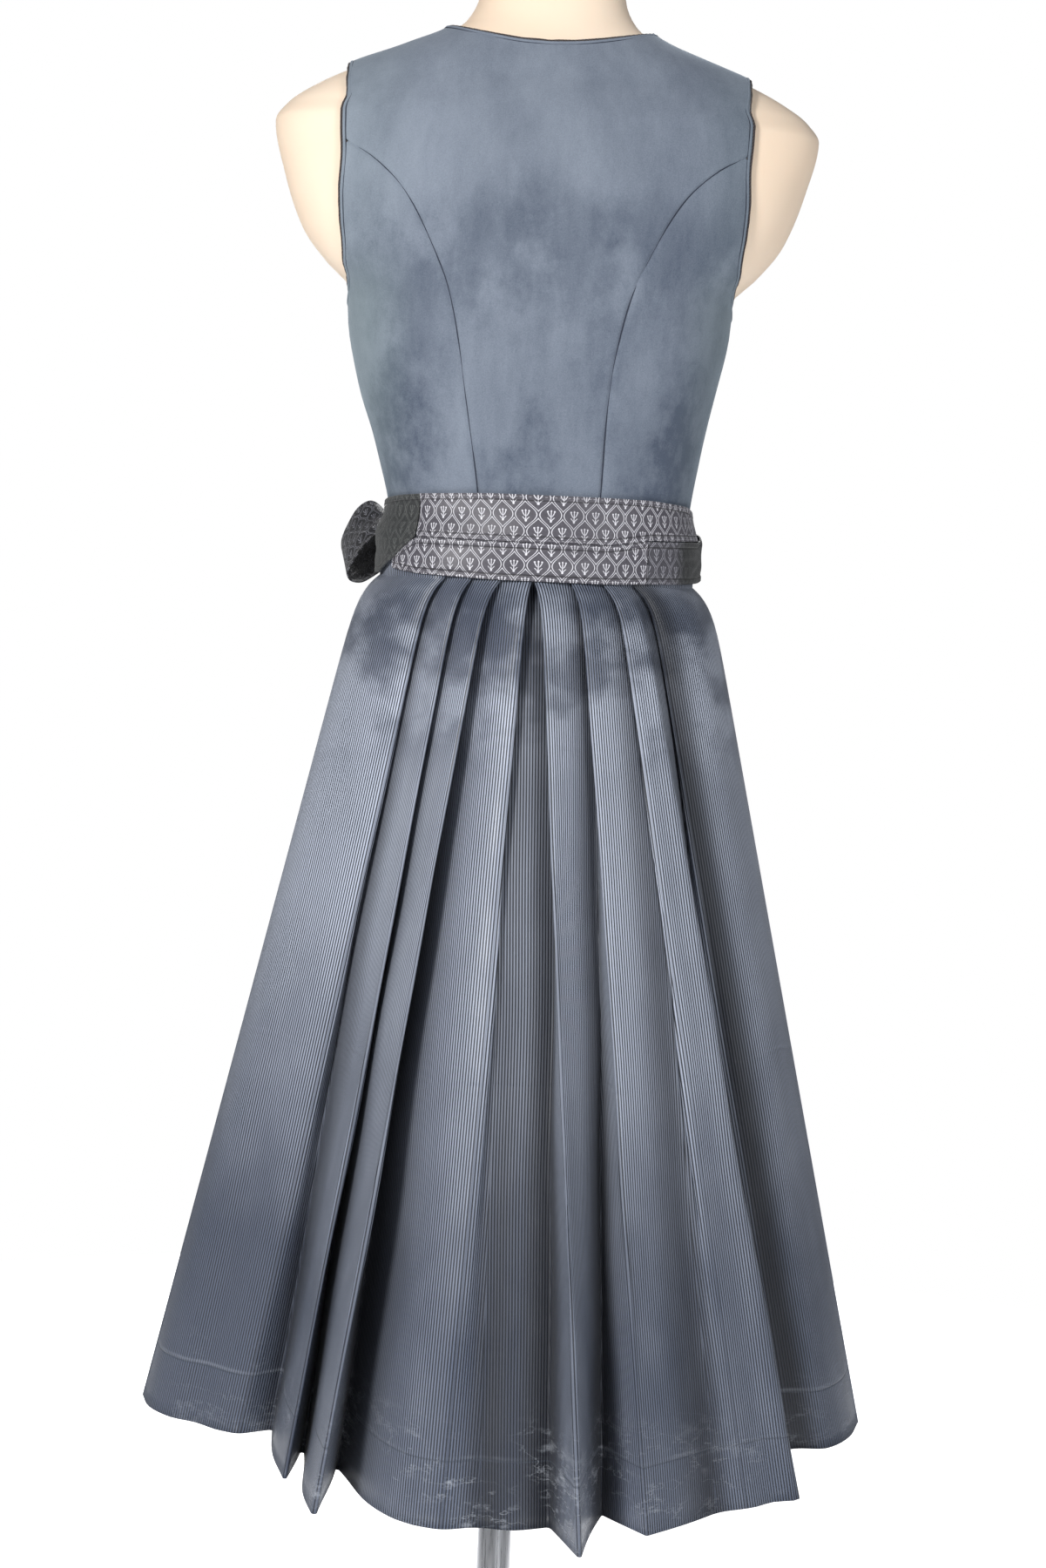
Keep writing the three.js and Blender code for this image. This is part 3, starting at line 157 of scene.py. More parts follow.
# kind, waist distance from the centre back, x and y at the hem, radius of the fold
SKIRT_BACK = [
    ("seam", None, 280, 4, 0), ("wave", None, 271, 32, 0), ("wave", None, 252, 54, 0),
    ("wave", None, 232, 63, 0), ("wave", None, 214, 76, 0), ("ridge", 71, 196, 84, 7),
    ("hollow", 87, 172, 72, 4), ("wave", 62, 164, 128, 0), ("ridge", 51, 153, 173, 1.5),
    ("hollow", 67, 146, 118, 4), ("wave", 42, 138, 190, 0), ("ridge", 29, 126, 237, 1.5),
    ("hollow", 45, 118, 150, 5), ("wave", 24, 95, 204, 0), ("wave", 18, 74, 235, 0),
    ("wave", 12, 57, 249, 0), ("ridge", 5.5, 38, 257, 8), ("hollow", 22, 12, 247, 8),
    ("wave", None, -12, 250, 0), ("hollow", -16, -36, 243, 4), ("ridge", -0.3, -57, 293, 1.5),
    ("wave", None, -66, 252, 0), ("hollow", -44, -74, 213, 5), ("ridge", -28, -104, 251, 1.5),
    ("wave", None, -128, 229, 0), ("hollow", -68, -155, 202, 10), ("ridge", -52, -179, 193, 9),
    ("wave", -58, -198, 176, 0), ("wave", -64, -217, 167, 0), ("wave", -70, -207, 122, 0),
    ("hollow", -90, -190, 75, 4), ("ridge", -75, -224, 64, 7), ("wave", None, -250, 60, 0),
    ("wave", None, -270, 32, 0), ("seam", None, -282, -5, 0),
]
SKIRT_FRONT = [
    (-282, -5.6), (-274, -48), (-249, -84), (-237, -120), (-206, -138), (-188, -176),
    (-152, -188), (-118, -216), (-78, -221), (-40, -238), (0, -234), (42, -239), (80, -222),
    (118, -214), (150, -189), (186, -176), (205, -140), (237, -120), (250, -80), (273, -42),
    (280, 3.4),
]
APRON_FROM, APRON_TO, APRON_WAVES = 0.14, 0.86, 8
APRON_LIFT, APRON_FALL, APRON_DEPTH = 2.1, 3.6, 5.5

# angle, low, high, lift
APRON_BAND = [(252, 1052.5, 1083, 6.4), (241, 1052.5, 1083, 6), (228, 1052.5, 1083, 4.3),
              (132, 1052.5, 1083, 4.3), (119, 1052.5, 1083, 6), (108, 1052.5, 1083, 6.4)]
TIES = {
    "tie_upper_back": [(47, 1080.2, 1112.4, 9.1), (15, 1079.6, 1114.5, 9.1),
                       (-25, 1079.6, 1114.6, 9.1), (-42, 1084.4, 1114.2, 9.1),
                       (-70, 1085.4, 1111, 9.2), (-84, 1085.8, 1106.5, 9.4)],
    "tie_lower_back": [(62, 1056, 1066, 9.1), (47, 1053, 1079.8, 9.1), (15, 1051, 1079.2, 9.1),
                       (-25, 1050.8, 1079.2, 9.1), (-41, 1052, 1083.6, 9.1)],
    "tie_side_left": [(47.4, 1080.6, 1112.2, 10.8), (60, 1064, 1111, 10.9),
                      (74, 1052, 1109, 10.4), (96, 1051, 1104, 9.6), (108, 1054, 1100, 8.2),
                      (119, 1056, 1098, 7.8), (129.8, 1058, 1096, 6.4)],
    "tie_side_right": [(-41.4, 1052, 1083.6, 9.1), (-70, 1053, 1084.6, 9.2),
                       (-83, 1054, 1085, 9.8), (-91, 1056, 1091, 12.4), (-101, 1054, 1096, 9),
                       (-108, 1053, 1098, 8), (-118, 1053, 1098, 7.8)],
    "tie_front": [(241.6, 1053, 1098, 7.8), (228, 1053, 1098, 6), (200, 1052, 1098, 6),
                  (160, 1053, 1097, 6), (130.2, 1058, 1096, 6.4)],
}
TIE_LEAN_Z = 1084.5
TIE_LEAN_RISE = (2, 13)
TIE_EDGE_CLEAR = 1.3

KNOT_ANGLE, KNOT_Z, KNOT_LIFT = 130, 1077, 18.2
KNOT_ALONG, KNOT_OUT, KNOT_UP = 13, 10.6, 19
# near x, y, z and far x, y, z
BOW_LOOP_BACK = [
    (106.9, -55.9, 1085, 113.5, -63.5, 1085), (116, -40, 1088, 124, -66, 1101),
    (126.5, -18, 1080, 134, -67, 1107), (136, -8, 1070, 143, -65, 1102),
    (143, -4, 1058, 151, -61, 1088), (146.5, -4, 1050, 155.5, -59, 1074),
    (144, -6, 1044.5, 154, -60, 1066), (137, -12, 1043, 147, -64, 1069),
    (129, -26, 1047, 137, -69, 1078), (117, -44, 1057, 124, -68, 1082),
    (106.9, -55.9, 1069, 113.5, -63.5, 1069),
]
BOW_LOOP_FRONT = [
    (90.5, -77.8, 1085, 90.5, -77.8, 1069), (77, -99, 1100, 75, -98, 1058),
    (58, -114, 1103, 56, -113, 1050), (38, -119, 1099, 36, -118, 1046),
    (28, -113, 1094, 26, -112, 1044), (29, -105, 1092, 28, -104, 1044),
    (42, -99, 1095, 41, -98, 1050), (62, -90.5, 1093, 61.5, -89.5, 1058),
    (88.4, -72.5, 1084, 88.4, -72.5, 1070),
]
# Along and across at both ends, as shares, then width and depth
LOOP_FOLDS_BACK = [(0.1, 0.5, 0.3, 0.6, 0.12, 1.2), (0.9, 0.5, 0.7, 0.45, 0.12, -1.0),
                   (0.22, 0.2, 0.42, 0.35, 0.1, -1.0)]
LOOP_FOLDS_FRONT = [(0.05, 0.5, 0.3, 0.55, 0.12, 1.2), (0.95, 0.5, 0.75, 0.5, 0.12, -1.0)]
# top share, bottom share, end height, widths
BOW_TAILS = {"bow_tail_left": (0.797, 0.86, 640, 14, 50),
             "bow_tail_right": (0.745, 0.69, 672, 14, 50)}
TAIL_LIFT_TOP, TAIL_LIFT_LOW = 13, 1.8
TAIL_CUT, TAIL_CUT_FROM = 6, 0.985

SIDES = {1: "left", -1: "right"}
FACES = {1: "back", -1: "front"}


# Curves and tables

def lerp(a, b, s):
    return a + (b - a) * s


def smooth_step(value, low, high):
    s = np.clip((np.asarray(value, float) - low) / (high - low), 0, 1)
    return s * s * (3 - 2 * s)


def table_at(xs, ys, at):
    """A table between its rows, on a curve that never overshoots them."""
    xs, ys, at = np.asarray(xs, float), np.asarray(ys, float), np.asarray(at, float)
    step = np.diff(xs)
    slope = np.diff(ys) / step
    tangent = np.empty(len(xs))
    tangent[0], tangent[-1] = slope[0], slope[-1]
    product = slope[:-1] * slope[1:]
    total = np.where(product > 0, slope[:-1] + slope[1:], 1)
    tangent[1:-1] = np.where(product > 0, 2 * product / total, 0)
    at = np.clip(at, xs[0], xs[-1])
    i = np.clip(np.searchsorted(xs, at, side="left") - 1, 0, len(step) - 1)
    s = (at - xs[i]) / step[i]
    bend = s * s * (3 - 2 * s) * (ys[i + 1] - ys[i])
    leave = s * (1 - s) ** 2 * tangent[i] * step[i]
    arrive = s * s * (1 - s) * tangent[i + 1] * step[i]
    return ys[i] + bend + leave - arrive


def circle(steps):
    return 2 * math.pi * np.arange(steps) / steps


def run_along(points, axis=0):
    """How far each point lies along its column (axis 0) or its row (axis 1)."""
    step = np.linalg.norm(np.diff(points, axis=axis), axis=-1)
    start = np.zeros_like(np.take(step, [0], axis))
    return np.concatenate([start, np.cumsum(step, axis)], axis)


def pairs_at(rows, at, key=0, value=1):
    return table_at([r[key] for r in rows], [r[value] for r in rows], at)


def cubic(a, b, leave, arrive, s):
    """From a to b with these tangents, at share s."""
    return (a * (2 * s ** 3 - 3 * s ** 2 + 1) + leave * (s ** 3 - 2 * s ** 2 + s)
            + b * (3 * s ** 2 - 2 * s ** 3) + arrive * (s ** 3 - s ** 2))


def spline(points, at):
    """A smooth curve through rows of numbers, at places counted in rows."""
    points = np.asarray(points, float)
    last = len(points) - 1
    at = np.clip(np.asarray(at, float), 0, last)
    i = np.clip(at.astype(int), 0, last - 1)
    s = (at - i)[..., None]
    before = points[np.clip(i - 1, 0, last)]
    a, b = points[i], points[i + 1]
    after = points[np.clip(i + 2, 0, last)]
    ma = np.where((i > 0)[..., None], (b - before) / 2, b - a)
    mb = np.where((i < last - 1)[..., None], (after - a) / 2, b - a)
    return cubic(a, b, ma, mb, s)


def refined(grid, across, up):
    """A grid of places evaluated at fractional columns and rows."""
    grid = np.asarray(grid, float)
    rows = np.stack([spline(row, across) for row in grid])
    return np.stack([spline(rows[:, c], up) for c in range(rows.shape[1])], axis=1)


def edged(count, step, ends):
    """Places 0..count, a step apart, with more of them beside both ends."""
    places = set(np.round(np.linspace(0, count, int(count / step) + 1), 6))
    for e in ends:
        places.add(round(e, 6))
        places.add(round(count - e, 6))
    return np.array(sorted(places))


# The form's surface

def section(z):
    return [table_at(FORM_SECTIONS[:, 0], FORM_SECTIONS[:, k], z) for k in range(1, 5)]


def side_depth(x, z, face):
    _, back, front, _ = section(z)
    dx = (np.abs(x) - BUST_X) / BUST_SPREAD
    dz = (z - BUST_Z) / BUST_SPREAD
    rise = BUST_RISE * np.exp(-(dx * dx + dz * dz) / 2)
    return np.where(face > 0, back, front + rise)


def body_level(x, y, z):
    half, _, _, power = section(z)
    depth = side_depth(x, z, np.where(y >= 0, 1, -1))
    return (np.abs(x) / half) ** power + (np.abs(y) / depth) ** power


def body_normal(x, y, z):
    h = 0.5
    n = np.stack([body_level(x + h, y, z) - body_level(x - h, y, z),
                  body_level(x, y + h, z) - body_level(x, y - h, z),
                  body_level(x, y, z + h) - body_level(x, y, z - h)], axis=-1)
    return n / np.maximum(np.linalg.norm(n, axis=-1, keepdims=True), 1e-12)


CREST_Z = np.linspace(SHOULDER_Z, 1490, 800)
CREST_HALF = table_at(FORM_SECTIONS[:, 0], FORM_SECTIONS[:, 1], CREST_Z)


def crest_height(x):
    return np.interp(np.abs(x), CREST_HALF[::-1], CREST_Z[::-1])


def sway(z):
    return SWAY_SHIFT * smooth_step(z, SWAY_FROM, SWAY_TO)


def on_body(x, z, face, lift):
    """Points over the form's surface, and their normals."""
    x, z = np.asarray(x, float), np.asarray(z, float)
    face = np.broadcast_to(np.asarray(face, float), x.shape)
    height = np.where(z > SHOULDER_Z, np.minimum(z, crest_height(x)), z)
    half, _, _, power = section(height)
    reach = np.minimum(np.abs(x) / half, 1)
    y = face * side_depth(x, height, face) * (1 - reach ** power) ** (1 / power)
    normal = body_normal(x, y, height)
    point = np.stack([x, y, height], axis=-1) + normal * np.asarray(lift, float)[..., None]
    point[..., 0] += sway(height)
    return point, normal


def angle_of(x, z):
    half, _, _, power = section(z)
    return np.arcsin(np.minimum(np.abs(x) / half, 1) ** (power / 2))


def distance_of(angle, z):
    half, _, _, power = section(z)
    return half * np.clip(np.sin(angle), 0, 1) ** (2 / power)


# Meshes

def linked(name, data):
    obj = bpy.data.objects.new(name, data)
    bpy.context.scene.collection.objects.link(obj)
    return obj


def new_object(name, points, faces, uvs, material, smooth=None):
    """A mesh object from points in millimetres, faces, and UV maps given corner by corner."""
    mesh = bpy.data.meshes.new(name)
    world = np.asarray(points, float) * MM + AXIS
    mesh.from_pydata(world.tolist(), [], [list(map(int, f)) for f in faces])
    for label, corners in uvs.items():
        layer = mesh.uv_layers.new(name=label)
        layer.data.foreach_set("uv", np.asarray(corners, np.float32).ravel())
    flags = np.ones(len(faces), bool) if smooth is None else np.asarray(smooth, bool)
    mesh.polygons.foreach_set("use_smooth", flags)
    mesh.materials.append(material)
    mesh.update()
    return linked(name, mesh)


def volume_of(points, faces):
    total = 0.0
    p = np.asarray(points, float)
    f = np.asarray(faces)
    for k in (1, 2):
        a, b, c = p[f[:, 0]], p[f[:, k]], p[f[:, k + 1]]
        total += np.einsum("ij,ij->i", a, np.cross(b, c)).sum()
    return total


def wall(name, outer, inner, material, uvs):
    """A closed wall between two grids of points. Each UV map is a grid of corner values, or
    of a left and a right value for every column between corners."""
    rows, cols = outer.shape[:2]
    points = np.concatenate([outer.reshape(-1, 3), inner.reshape(-1, 3)])
    back = rows * cols
    r, c = np.meshgrid(np.arange(rows - 1), np.arange(cols - 1), indexing="ij")
    r, c = r.ravel(), c.ravel()
    a, b = r * cols + c, r * cols + c + 1
    d, e = a + cols, b + cols
    ends = np.arange(rows - 1)
    edge_c = np.arange(cols - 1)
    faces = [np.stack([a, b, e, d], 1), np.stack([a, d, e, b], 1) + back]
    cells = [(r, c, (0, 1, 1, 0), (0, 0, 1, 1)), (r, c, (0, 0, 1, 1), (0, 1, 1, 0))]
    for col, turn in ((0, 1), (cols - 1, -1)):
        low, high = ends * cols + col, (ends + 1) * cols + col
        quad = [low, high, high + back, low + back]
        side = 0 if col == 0 else 1
        seg = np.full_like(ends, max(col - 1, 0))
        rr = (0, 1, 1, 0)
        if turn < 0:
            quad, rr = quad[::-1], rr[::-1]
        faces.append(np.stack(quad, 1))
        cells.append((ends, seg, (side,) * 4, rr))
    for row, turn in ((0, -1), (rows - 1, 1)):
        low, high = row * cols + edge_c, row * cols + edge_c + 1
        quad = [low, high, high + back, low + back]
        cc = (0, 1, 1, 0)
        if turn < 0:
            quad, cc = quad[::-1], cc[::-1]
        faces.append(np.stack(quad, 1))
        cells.append((np.full_like(edge_c, max(row - 1, 0)), edge_c, cc, (0 if row == 0 else 1,) * 4))
    # The four rims as written run against the two faces, so they are turned round
    for k in range(2, 6):
        rr, seg, side, up = cells[k]
        faces[k], cells[k] = faces[k][:, ::-1], (rr, seg, side[::-1], up[::-1])
    all_faces = np.concatenate(faces)
    corner_uvs = {}
    for label, values in uvs.items():
        if values.ndim == 3:
            values = np.stack([values[:, :-1], values[:, 1:]], axis=2)
        parts = []
        for rr, seg, side, up in cells:
            parts.append(np.stack([values[rr + up[k], seg, side[k]] for k in range(4)], 1))
        corner_uvs[label] = np.concatenate(parts)
    if volume_of(points, all_faces) < 0:
        all_faces = all_faces[:, ::-1]
        corner_uvs = {label: v[:, ::-1] for label, v in corner_uvs.items()}
    smooth = np.zeros(len(all_faces), bool)
    smooth[:2 * len(faces[0])] = True
    obj = new_object(name, points, all_faces, corner_uvs, material, smooth)
    remember_cut(obj, (outer + inner) / 2)
    return obj


def rings(name, loops, material):
    """A solid through closed rings of points."""
    loops = np.asarray(loops, float)
    rows, count = loops.shape[:2]
    points = loops.reshape(-1, 3)
    r, c = np.meshgrid(np.arange(rows - 1), np.arange(count), indexing="ij")
    r, c = r.ravel(), c.ravel()
    nxt = (c + 1) % count
    quads = np.stack([r * count + c, r * count + nxt, (r + 1) * count + nxt, (r + 1) * count + c], 1)
    step = np.linalg.norm(np.diff(loops, axis=0), axis=2).mean(1)
    along = np.concatenate([[0], np.cumsum(step)]) / 10
    girth = np.linalg.norm(loops - np.roll(loops, 1, axis=1), axis=2).sum(1).max() / 10
    uv = np.stack([np.stack([(c + (k in (1, 2))) / count * girth, along[r + (k > 1)]], 1)
                   for k in range(4)], 1)
    faces = [list(q) for q in quads]
    corners = [list(map(tuple, q)) for q in uv]
    points = list(points)
    for row, turn in ((0, 1), (rows - 1, -1)):
        middle = len(points)
        points.append(loops[row].mean(0))
        for k in range(count):
            pair = [row * count + k, row * count + (k + 1) % count][::-turn]
            faces.append([middle] + pair)
            corners.append([(0.0, along[row])] * 3)
    flat_corners = [uv for face in corners for uv in face]
    p = np.asarray(points)
    total = sum(np.dot(p[f[0]], np.cross(p[f[k]], p[f[k + 1]])) for f in faces
                for k in range(1, len(f) - 1))
    if total < 0:
        faces = [f[::-1] for f in faces]
        flat_corners = [uv for face in corners for uv in face[::-1]]
    return new_object(name, points, faces, {"Cloth": flat_corners}, material)


def tube(name, path, normals, radius, material, sides, closed=False, twist=0.0, lobes=0,
         lobe_depth=0.0):
    """A cord along a path; lobes give it the ridges of a twisted cord."""
    path, normals = np.asarray(path, float), np.asarray(normals, float)
    if closed:
        path = np.concatenate([path, path[:1]])
        normals = np.concatenate([normals, normals[:1]])
        along = np.roll(path[:-1], -1, 0) - np.roll(path[:-1], 1, 0)
        along = np.concatenate([along, along[:1]])
    else:
        along = np.gradient(path, axis=0)
    along /= np.linalg.norm(along, axis=1, keepdims=True)
    across = np.cross(along, normals)
    across /= np.linalg.norm(across, axis=1, keepdims=True)
    up = np.cross(across, along)
    run = run_along(path)
    loops = []
    turn = circle(sides)
    for i, point in enumerate(path):
        r = np.full(sides, radius)
        if lobes:
            r = radius * (1 - lobe_depth * (0.5 - 0.5 * np.cos(lobes * (turn + run[i] * twist))))
        loops.append(point + across[i] * (r * np.cos(turn))[:, None]
                     + up[i] * (r * np.sin(turn))[:, None])
    return rings(name, loops, material)


def turned(profile, steps, least):
    """Rings round an upright axis, through rows of radius and height."""
    turn = circle(steps)
    return [np.stack([max(radius, least) * np.cos(turn), max(radius, least) * np.sin(turn),
                      np.full(steps, height)], 1) for radius, height in profile]


def soft_folds(x, z, table):
    """Depth of soft creases. A row is x, z at both ends, width and depth, all in mm."""
    total = np.zeros(np.shape(x))
    for x0, z0, x1, z1, width, depth in table:
        dx, dz = x1 - x0, z1 - z0
        length2 = dx * dx + dz * dz
        s = np.clip(((x - x0) * dx + (z - z0) * dz) / length2, 0, 1)
        away2 = (x - x0 - s * dx) ** 2 + (z - z0 - s * dz) ** 2
        total += depth * np.exp(-away2 / (2 * width * width)) * (0.35 + 0.65 * np.sin(math.pi * s))
    return total


# Materials

def rgb(text):
    parts = [int(text[k:k + 2], 16) / 255 for k in (1, 3, 5)]
    return tuple(c / 12.92 if c <= 0.04045 else ((c + 0.055) / 1.055) ** 2.4 for c in parts)


def toned(text, share):
    return tuple(share * c for c in rgb(text))


def feed(tree, slot, value):
    """Links an output to an input, or sets the input to a number or a colour."""
    if isinstance(value, Field):
        value = value.socket
    if isinstance(value, bpy.types.NodeSocket):
        tree.links.new(value, slot)
        return
    if isinstance(value, str):
        value = rgb(value)
    if isinstance(value, tuple) and slot.type == "RGBA":
        value = (*value, 1.0)
    slot.default_value = value


class Field:
    """A number in a material's graph that takes part in arithmetic."""

    def __init__(self, tree, socket):
        self.tree, self.socket = tree, socket

    def _math(self, kind, *others):
        node = self.tree.nodes.new("ShaderNodeMath")
        node.operation = kind
        for slot, value in zip(node.inputs, (self, *others)):
            feed(self.tree, slot, value)
        return Field(self.tree, node.outputs[0])

    def __add__(self, o): return self._math("ADD", o)
    def __sub__(self, o): return self._math("SUBTRACT", o)
    def __mul__(self, o): return self._math("MULTIPLY", o)
    def sin(self): return self._math("SINE")
    def wave(self, pitch): return (self * (2 * math.pi / pitch)).sin()
    def cos(self): return self._math("COSINE")
    def abs(self): return self._math("ABSOLUTE")
    def wrap(self, high): return self._math("FLOORED_MODULO", high)
    def least(self, o): return self._math("MINIMUM", o)
    def most(self, o): return self._math("MAXIMUM", o)
    def power(self, o): return self._math("POWER", o)
    def root(self): return self._math("SQRT")

    def fade(self, low, high): return self.ramp(low, high, 1.0, 0.0)

    def ramp(self, low, high, to_low=0.0, to_high=1.0):
        node = self.tree.nodes.new("ShaderNodeMapRange")
        node.interpolation_type = "SMOOTHSTEP"
        self.tree.links.new(self.socket, node.inputs["Value"])
        for key, value in (("From Min", low), ("From Max", high), ("To Min", to_low),
                           ("To Max", to_high)):
            node.inputs[key].default_value = value
        return Field(self.tree, node.outputs["Result"])


class Look:
    """A procedural material."""

    def __init__(self, name, **settings):
        self.material = bpy.data.materials.new(name)
        self.material.use_nodes = True
        self.tree = self.material.node_tree
        self.shader = self.tree.nodes["Principled BSDF"]
        for key, value in settings.items():
            feed(self.tree, self.shader.inputs[key.replace("_", " ")], value)

    def place(self):
        node = self.tree.nodes.new("ShaderNodeTexCoord")
        return node.outputs["Object"]

    def split(self, socket):
        node = self.tree.nodes.new("ShaderNodeSeparateXYZ")
        self.tree.links.new(socket, node.inputs[0])
        return [Field(self.tree, out) for out in node.outputs]

    def uv(self, label):
        node = self.tree.nodes.new("ShaderNodeUVMap")
        node.uv_map = label
        return self.split(node.outputs[0])[:2]

    def combine(self, x, y, z=0.0):
        node = self.tree.nodes.new("ShaderNodeCombineXYZ")
        for slot, value in zip(node.inputs, (x, y, z)):
            feed(self.tree, slot, value)
        return node.outputs[0]

    def noise(self, where, scale, detail=2.0, rough=0.5, stretch=None):
        if stretch:
            node = self.tree.nodes.new("ShaderNodeMapping")
            node.inputs["Scale"].default_value = (1.0, 1.0, stretch)
            self.tree.links.new(where, node.inputs["Vector"])
            where = node.outputs[0]
        node = self.tree.nodes.new("ShaderNodeTexNoise")
        node.inputs["Scale"].default_value = scale
        node.inputs["Detail"].default_value = detail
        node.inputs["Roughness"].default_value = rough
        self.tree.links.new(where, node.inputs["Vector"])
        return Field(self.tree, node.outputs[0])

    def mix(self, factor, low, high):
        node = self.tree.nodes.new("ShaderNodeMix")
        node.data_type = "RGBA"
        for slot, value in ((node.inputs[0], factor), (node.inputs[6], low), (node.inputs[7], high)):
            feed(self.tree, slot, value)
        return node.outputs[2]

    def colour(self, socket):
        self.tree.links.new(socket, self.shader.inputs["Base Color"])

    def rough(self, field):
        self.tree.links.new(field.socket, self.shader.inputs["Roughness"])

    def bump(self, field, height, strength=1.0):
        node = self.tree.nodes.new("ShaderNodeBump")
        node.inputs["Distance"].default_value = height
        node.inputs["Strength"].default_value = strength
        self.tree.links.new(field.socket, node.inputs["Height"])
        self.tree.links.new(node.outputs[0], self.shader.inputs["Normal"])


def velvet_look(name):
    look = Look(name, Roughness=0.8, Sheen_Weight=0.5, Sheen_Roughness=0.45,
                Sheen_Tint="#b4bfcc", Specular_IOR_Level=0.2)
    where = look.place()
    x, _, z = look.split(where)
    patches = look.noise(where, 11.0, 9.0, 0.66, stretch=0.8).ramp(0.42, 0.62)
    streaks = look.noise(where, 30.0, 6.0, 0.7, stretch=0.3)
    cloud = look.noise(where, 5.0, 2.0, 0.5)
    speckle = look.noise(where, 1100.0, 2.0, 0.7)
    brushed = ((x * 9.0).power(2.0) + ((z - 1.292) * 19.0).power(2.0)).ramp(0.0, 1.9, 0.17, 0.0)
    low = z.ramp(1.13, 1.29, 0.2, 0.0)
    sides = x.abs().ramp(0.07, 0.125, 0.0, 0.14) * z.fade(1.3, 1.36)
    worn = patches * (brushed + low + sides + 0.05)
    # Painted light: the + x term lightens the bodice on the wearer's left and darkens it on the right,
    # as the key light falls from the left. The - low term makes it darker towards the bottom.
    tone = ((streaks - 0.5) * 0.75 + (cloud - 0.5) * 0.4 + 0.54 - worn * 1.5
            + (speckle - 0.5) * 0.5 - low * 0.9 + x)
    colour = look.mix(tone, "#475060", "#8d96a3")
    green = x.abs().ramp(0.09, 0.15, 0.0, 0.4) * z.ramp(1.25, 1.3, 1.0, 0.3)
    colour = look.mix(green, colour, "#7f908f")
    look.colour(colour)
    look.bump(speckle + streaks * 0.8, 0.0004, 0.5)
    return look.material


def ribbed_look(name):
    look = Look(name, Roughness=0.42, Specular_IOR_Level=0.4, Sheen_Weight=0.05, Sheen_Roughness=0.4)
    where = look.place()
    x, _, z = look.split(where)
    u, v = look.uv("Cloth")
    wander = look.noise(where, 7.0, 2.0, 0.5) * 0.05
    rib = (u + wander).wave(RIB_PITCH).ramp(-0.95, 0.35)
    thread = look.noise(look.combine(u * 9.0, v * 60.0), 1.0, 1.0)
    patches = look.noise(where, 6.0, 4.0, 0.6, stretch=0.5)
    shine = look.noise(where, 15.0, 3.0, 0.55, stretch=1.5)
    upper = (z - 0.985).abs().fade(0.03, 0.09)
    # Painted shade: fall darkens the skirt towards the hem, where less light falls, and again at its top
    # just under the sash.
    fall = z.ramp(0.45, 0.88, -0.28, 0.5) - z.ramp(0.93, 1.03, 0.0, 0.42)
    # Painted highlights: the shine term lays bright and dark satin blotches into the colour of the upper
    # skirt.
    tone = patches.ramp(0.3, 0.72) * 0.45 + fall + (shine.ramp(0.38, 0.62) - 0.5) * upper * 0.8 + 0.12
    colour = look.mix(tone, "#525b6e", "#b3bbcc")
    # Painted shade: the grooves between the ribs are painted near black, besides the ribs' bump.
    colour = look.mix(rib, "#12141a", colour)
    colour = look.mix(thread.ramp(0.35, 0.7, 0.0, 0.12), colour, "#a0a8b8")
    # Painted shade: the pleats' hollows are darkened, more in wide folds, from the share and reach the
    # skirt pieces carry in their Edge map.
    hollow, reach = look.uv("Edge")
    painted_hollow_shade = hollow.ramp(0.3, 0.95, 0.0, 0.86) * reach.ramp(0.02, 0.5, 0.35, 1.0)
    colour = look.mix(painted_hollow_shade, colour, "#14161d")
    # Painted shade: a dark tone along the pleats' ridges tones down their highlight.
    colour = look.mix(hollow.ramp(0.0, 0.06, 0.5, 0.0), colour, "#2a2f3b")
    stitch = (v - HEM_STITCH_UP).abs().ramp(0.02, 0.10, 0.5, 0.0)
    pale = (v - HEM_PALE_UP).abs().fade(0.0, 0.2)
    pale = pale * look.noise(where, 12.0, 4.0, 0.6).ramp(0.45, 0.62, 0.02, 0.16)
    colour = look.mix(pale, colour, "#b4bac6")
    colour = look.mix(stitch, colour, "#39404c")
    strings = look.noise(where, 22.0, 4.0, 0.6, stretch=3.2) - 0.5
    strings = strings.abs().fade(0.0, 0.02)
    worn = look.noise(where, 13.0, 3.0, 0.6)
    low = v.fade(3.0, 9.0) * x.abs().ramp(0.05, 0.2, 1.0, 0.3)
    marks = strings * worn.ramp(0.42, 0.56) * low
    rubbed = look.noise(where, 40.0, 6.0, 0.75, stretch=2.6).ramp(0.5, 0.66)
    rubbed = rubbed * worn.ramp(0.48, 0.6) * low
    colour = look.mix(marks * 0.26 + rubbed * 0.36, colour, "#c3c9d4")
    look.colour(colour)
    look.rough(shine.ramp(0.25, 0.75, 0.36, 0.52))
    crease = (v - CREASE_UP - look.noise(where, 9.0, 2.0) * 3.0).abs().fade(0.0, 0.3)
    fine = look.noise(where, 42.0, 5.0, 0.72, stretch=1.8)
    look.bump(rib * 0.5 + fine * 0.35 + marks * 0.6 - crease * 0.4 - stitch * 0.6 + shine * upper * 3.0,
              0.0011, 0.8)
    return look.material


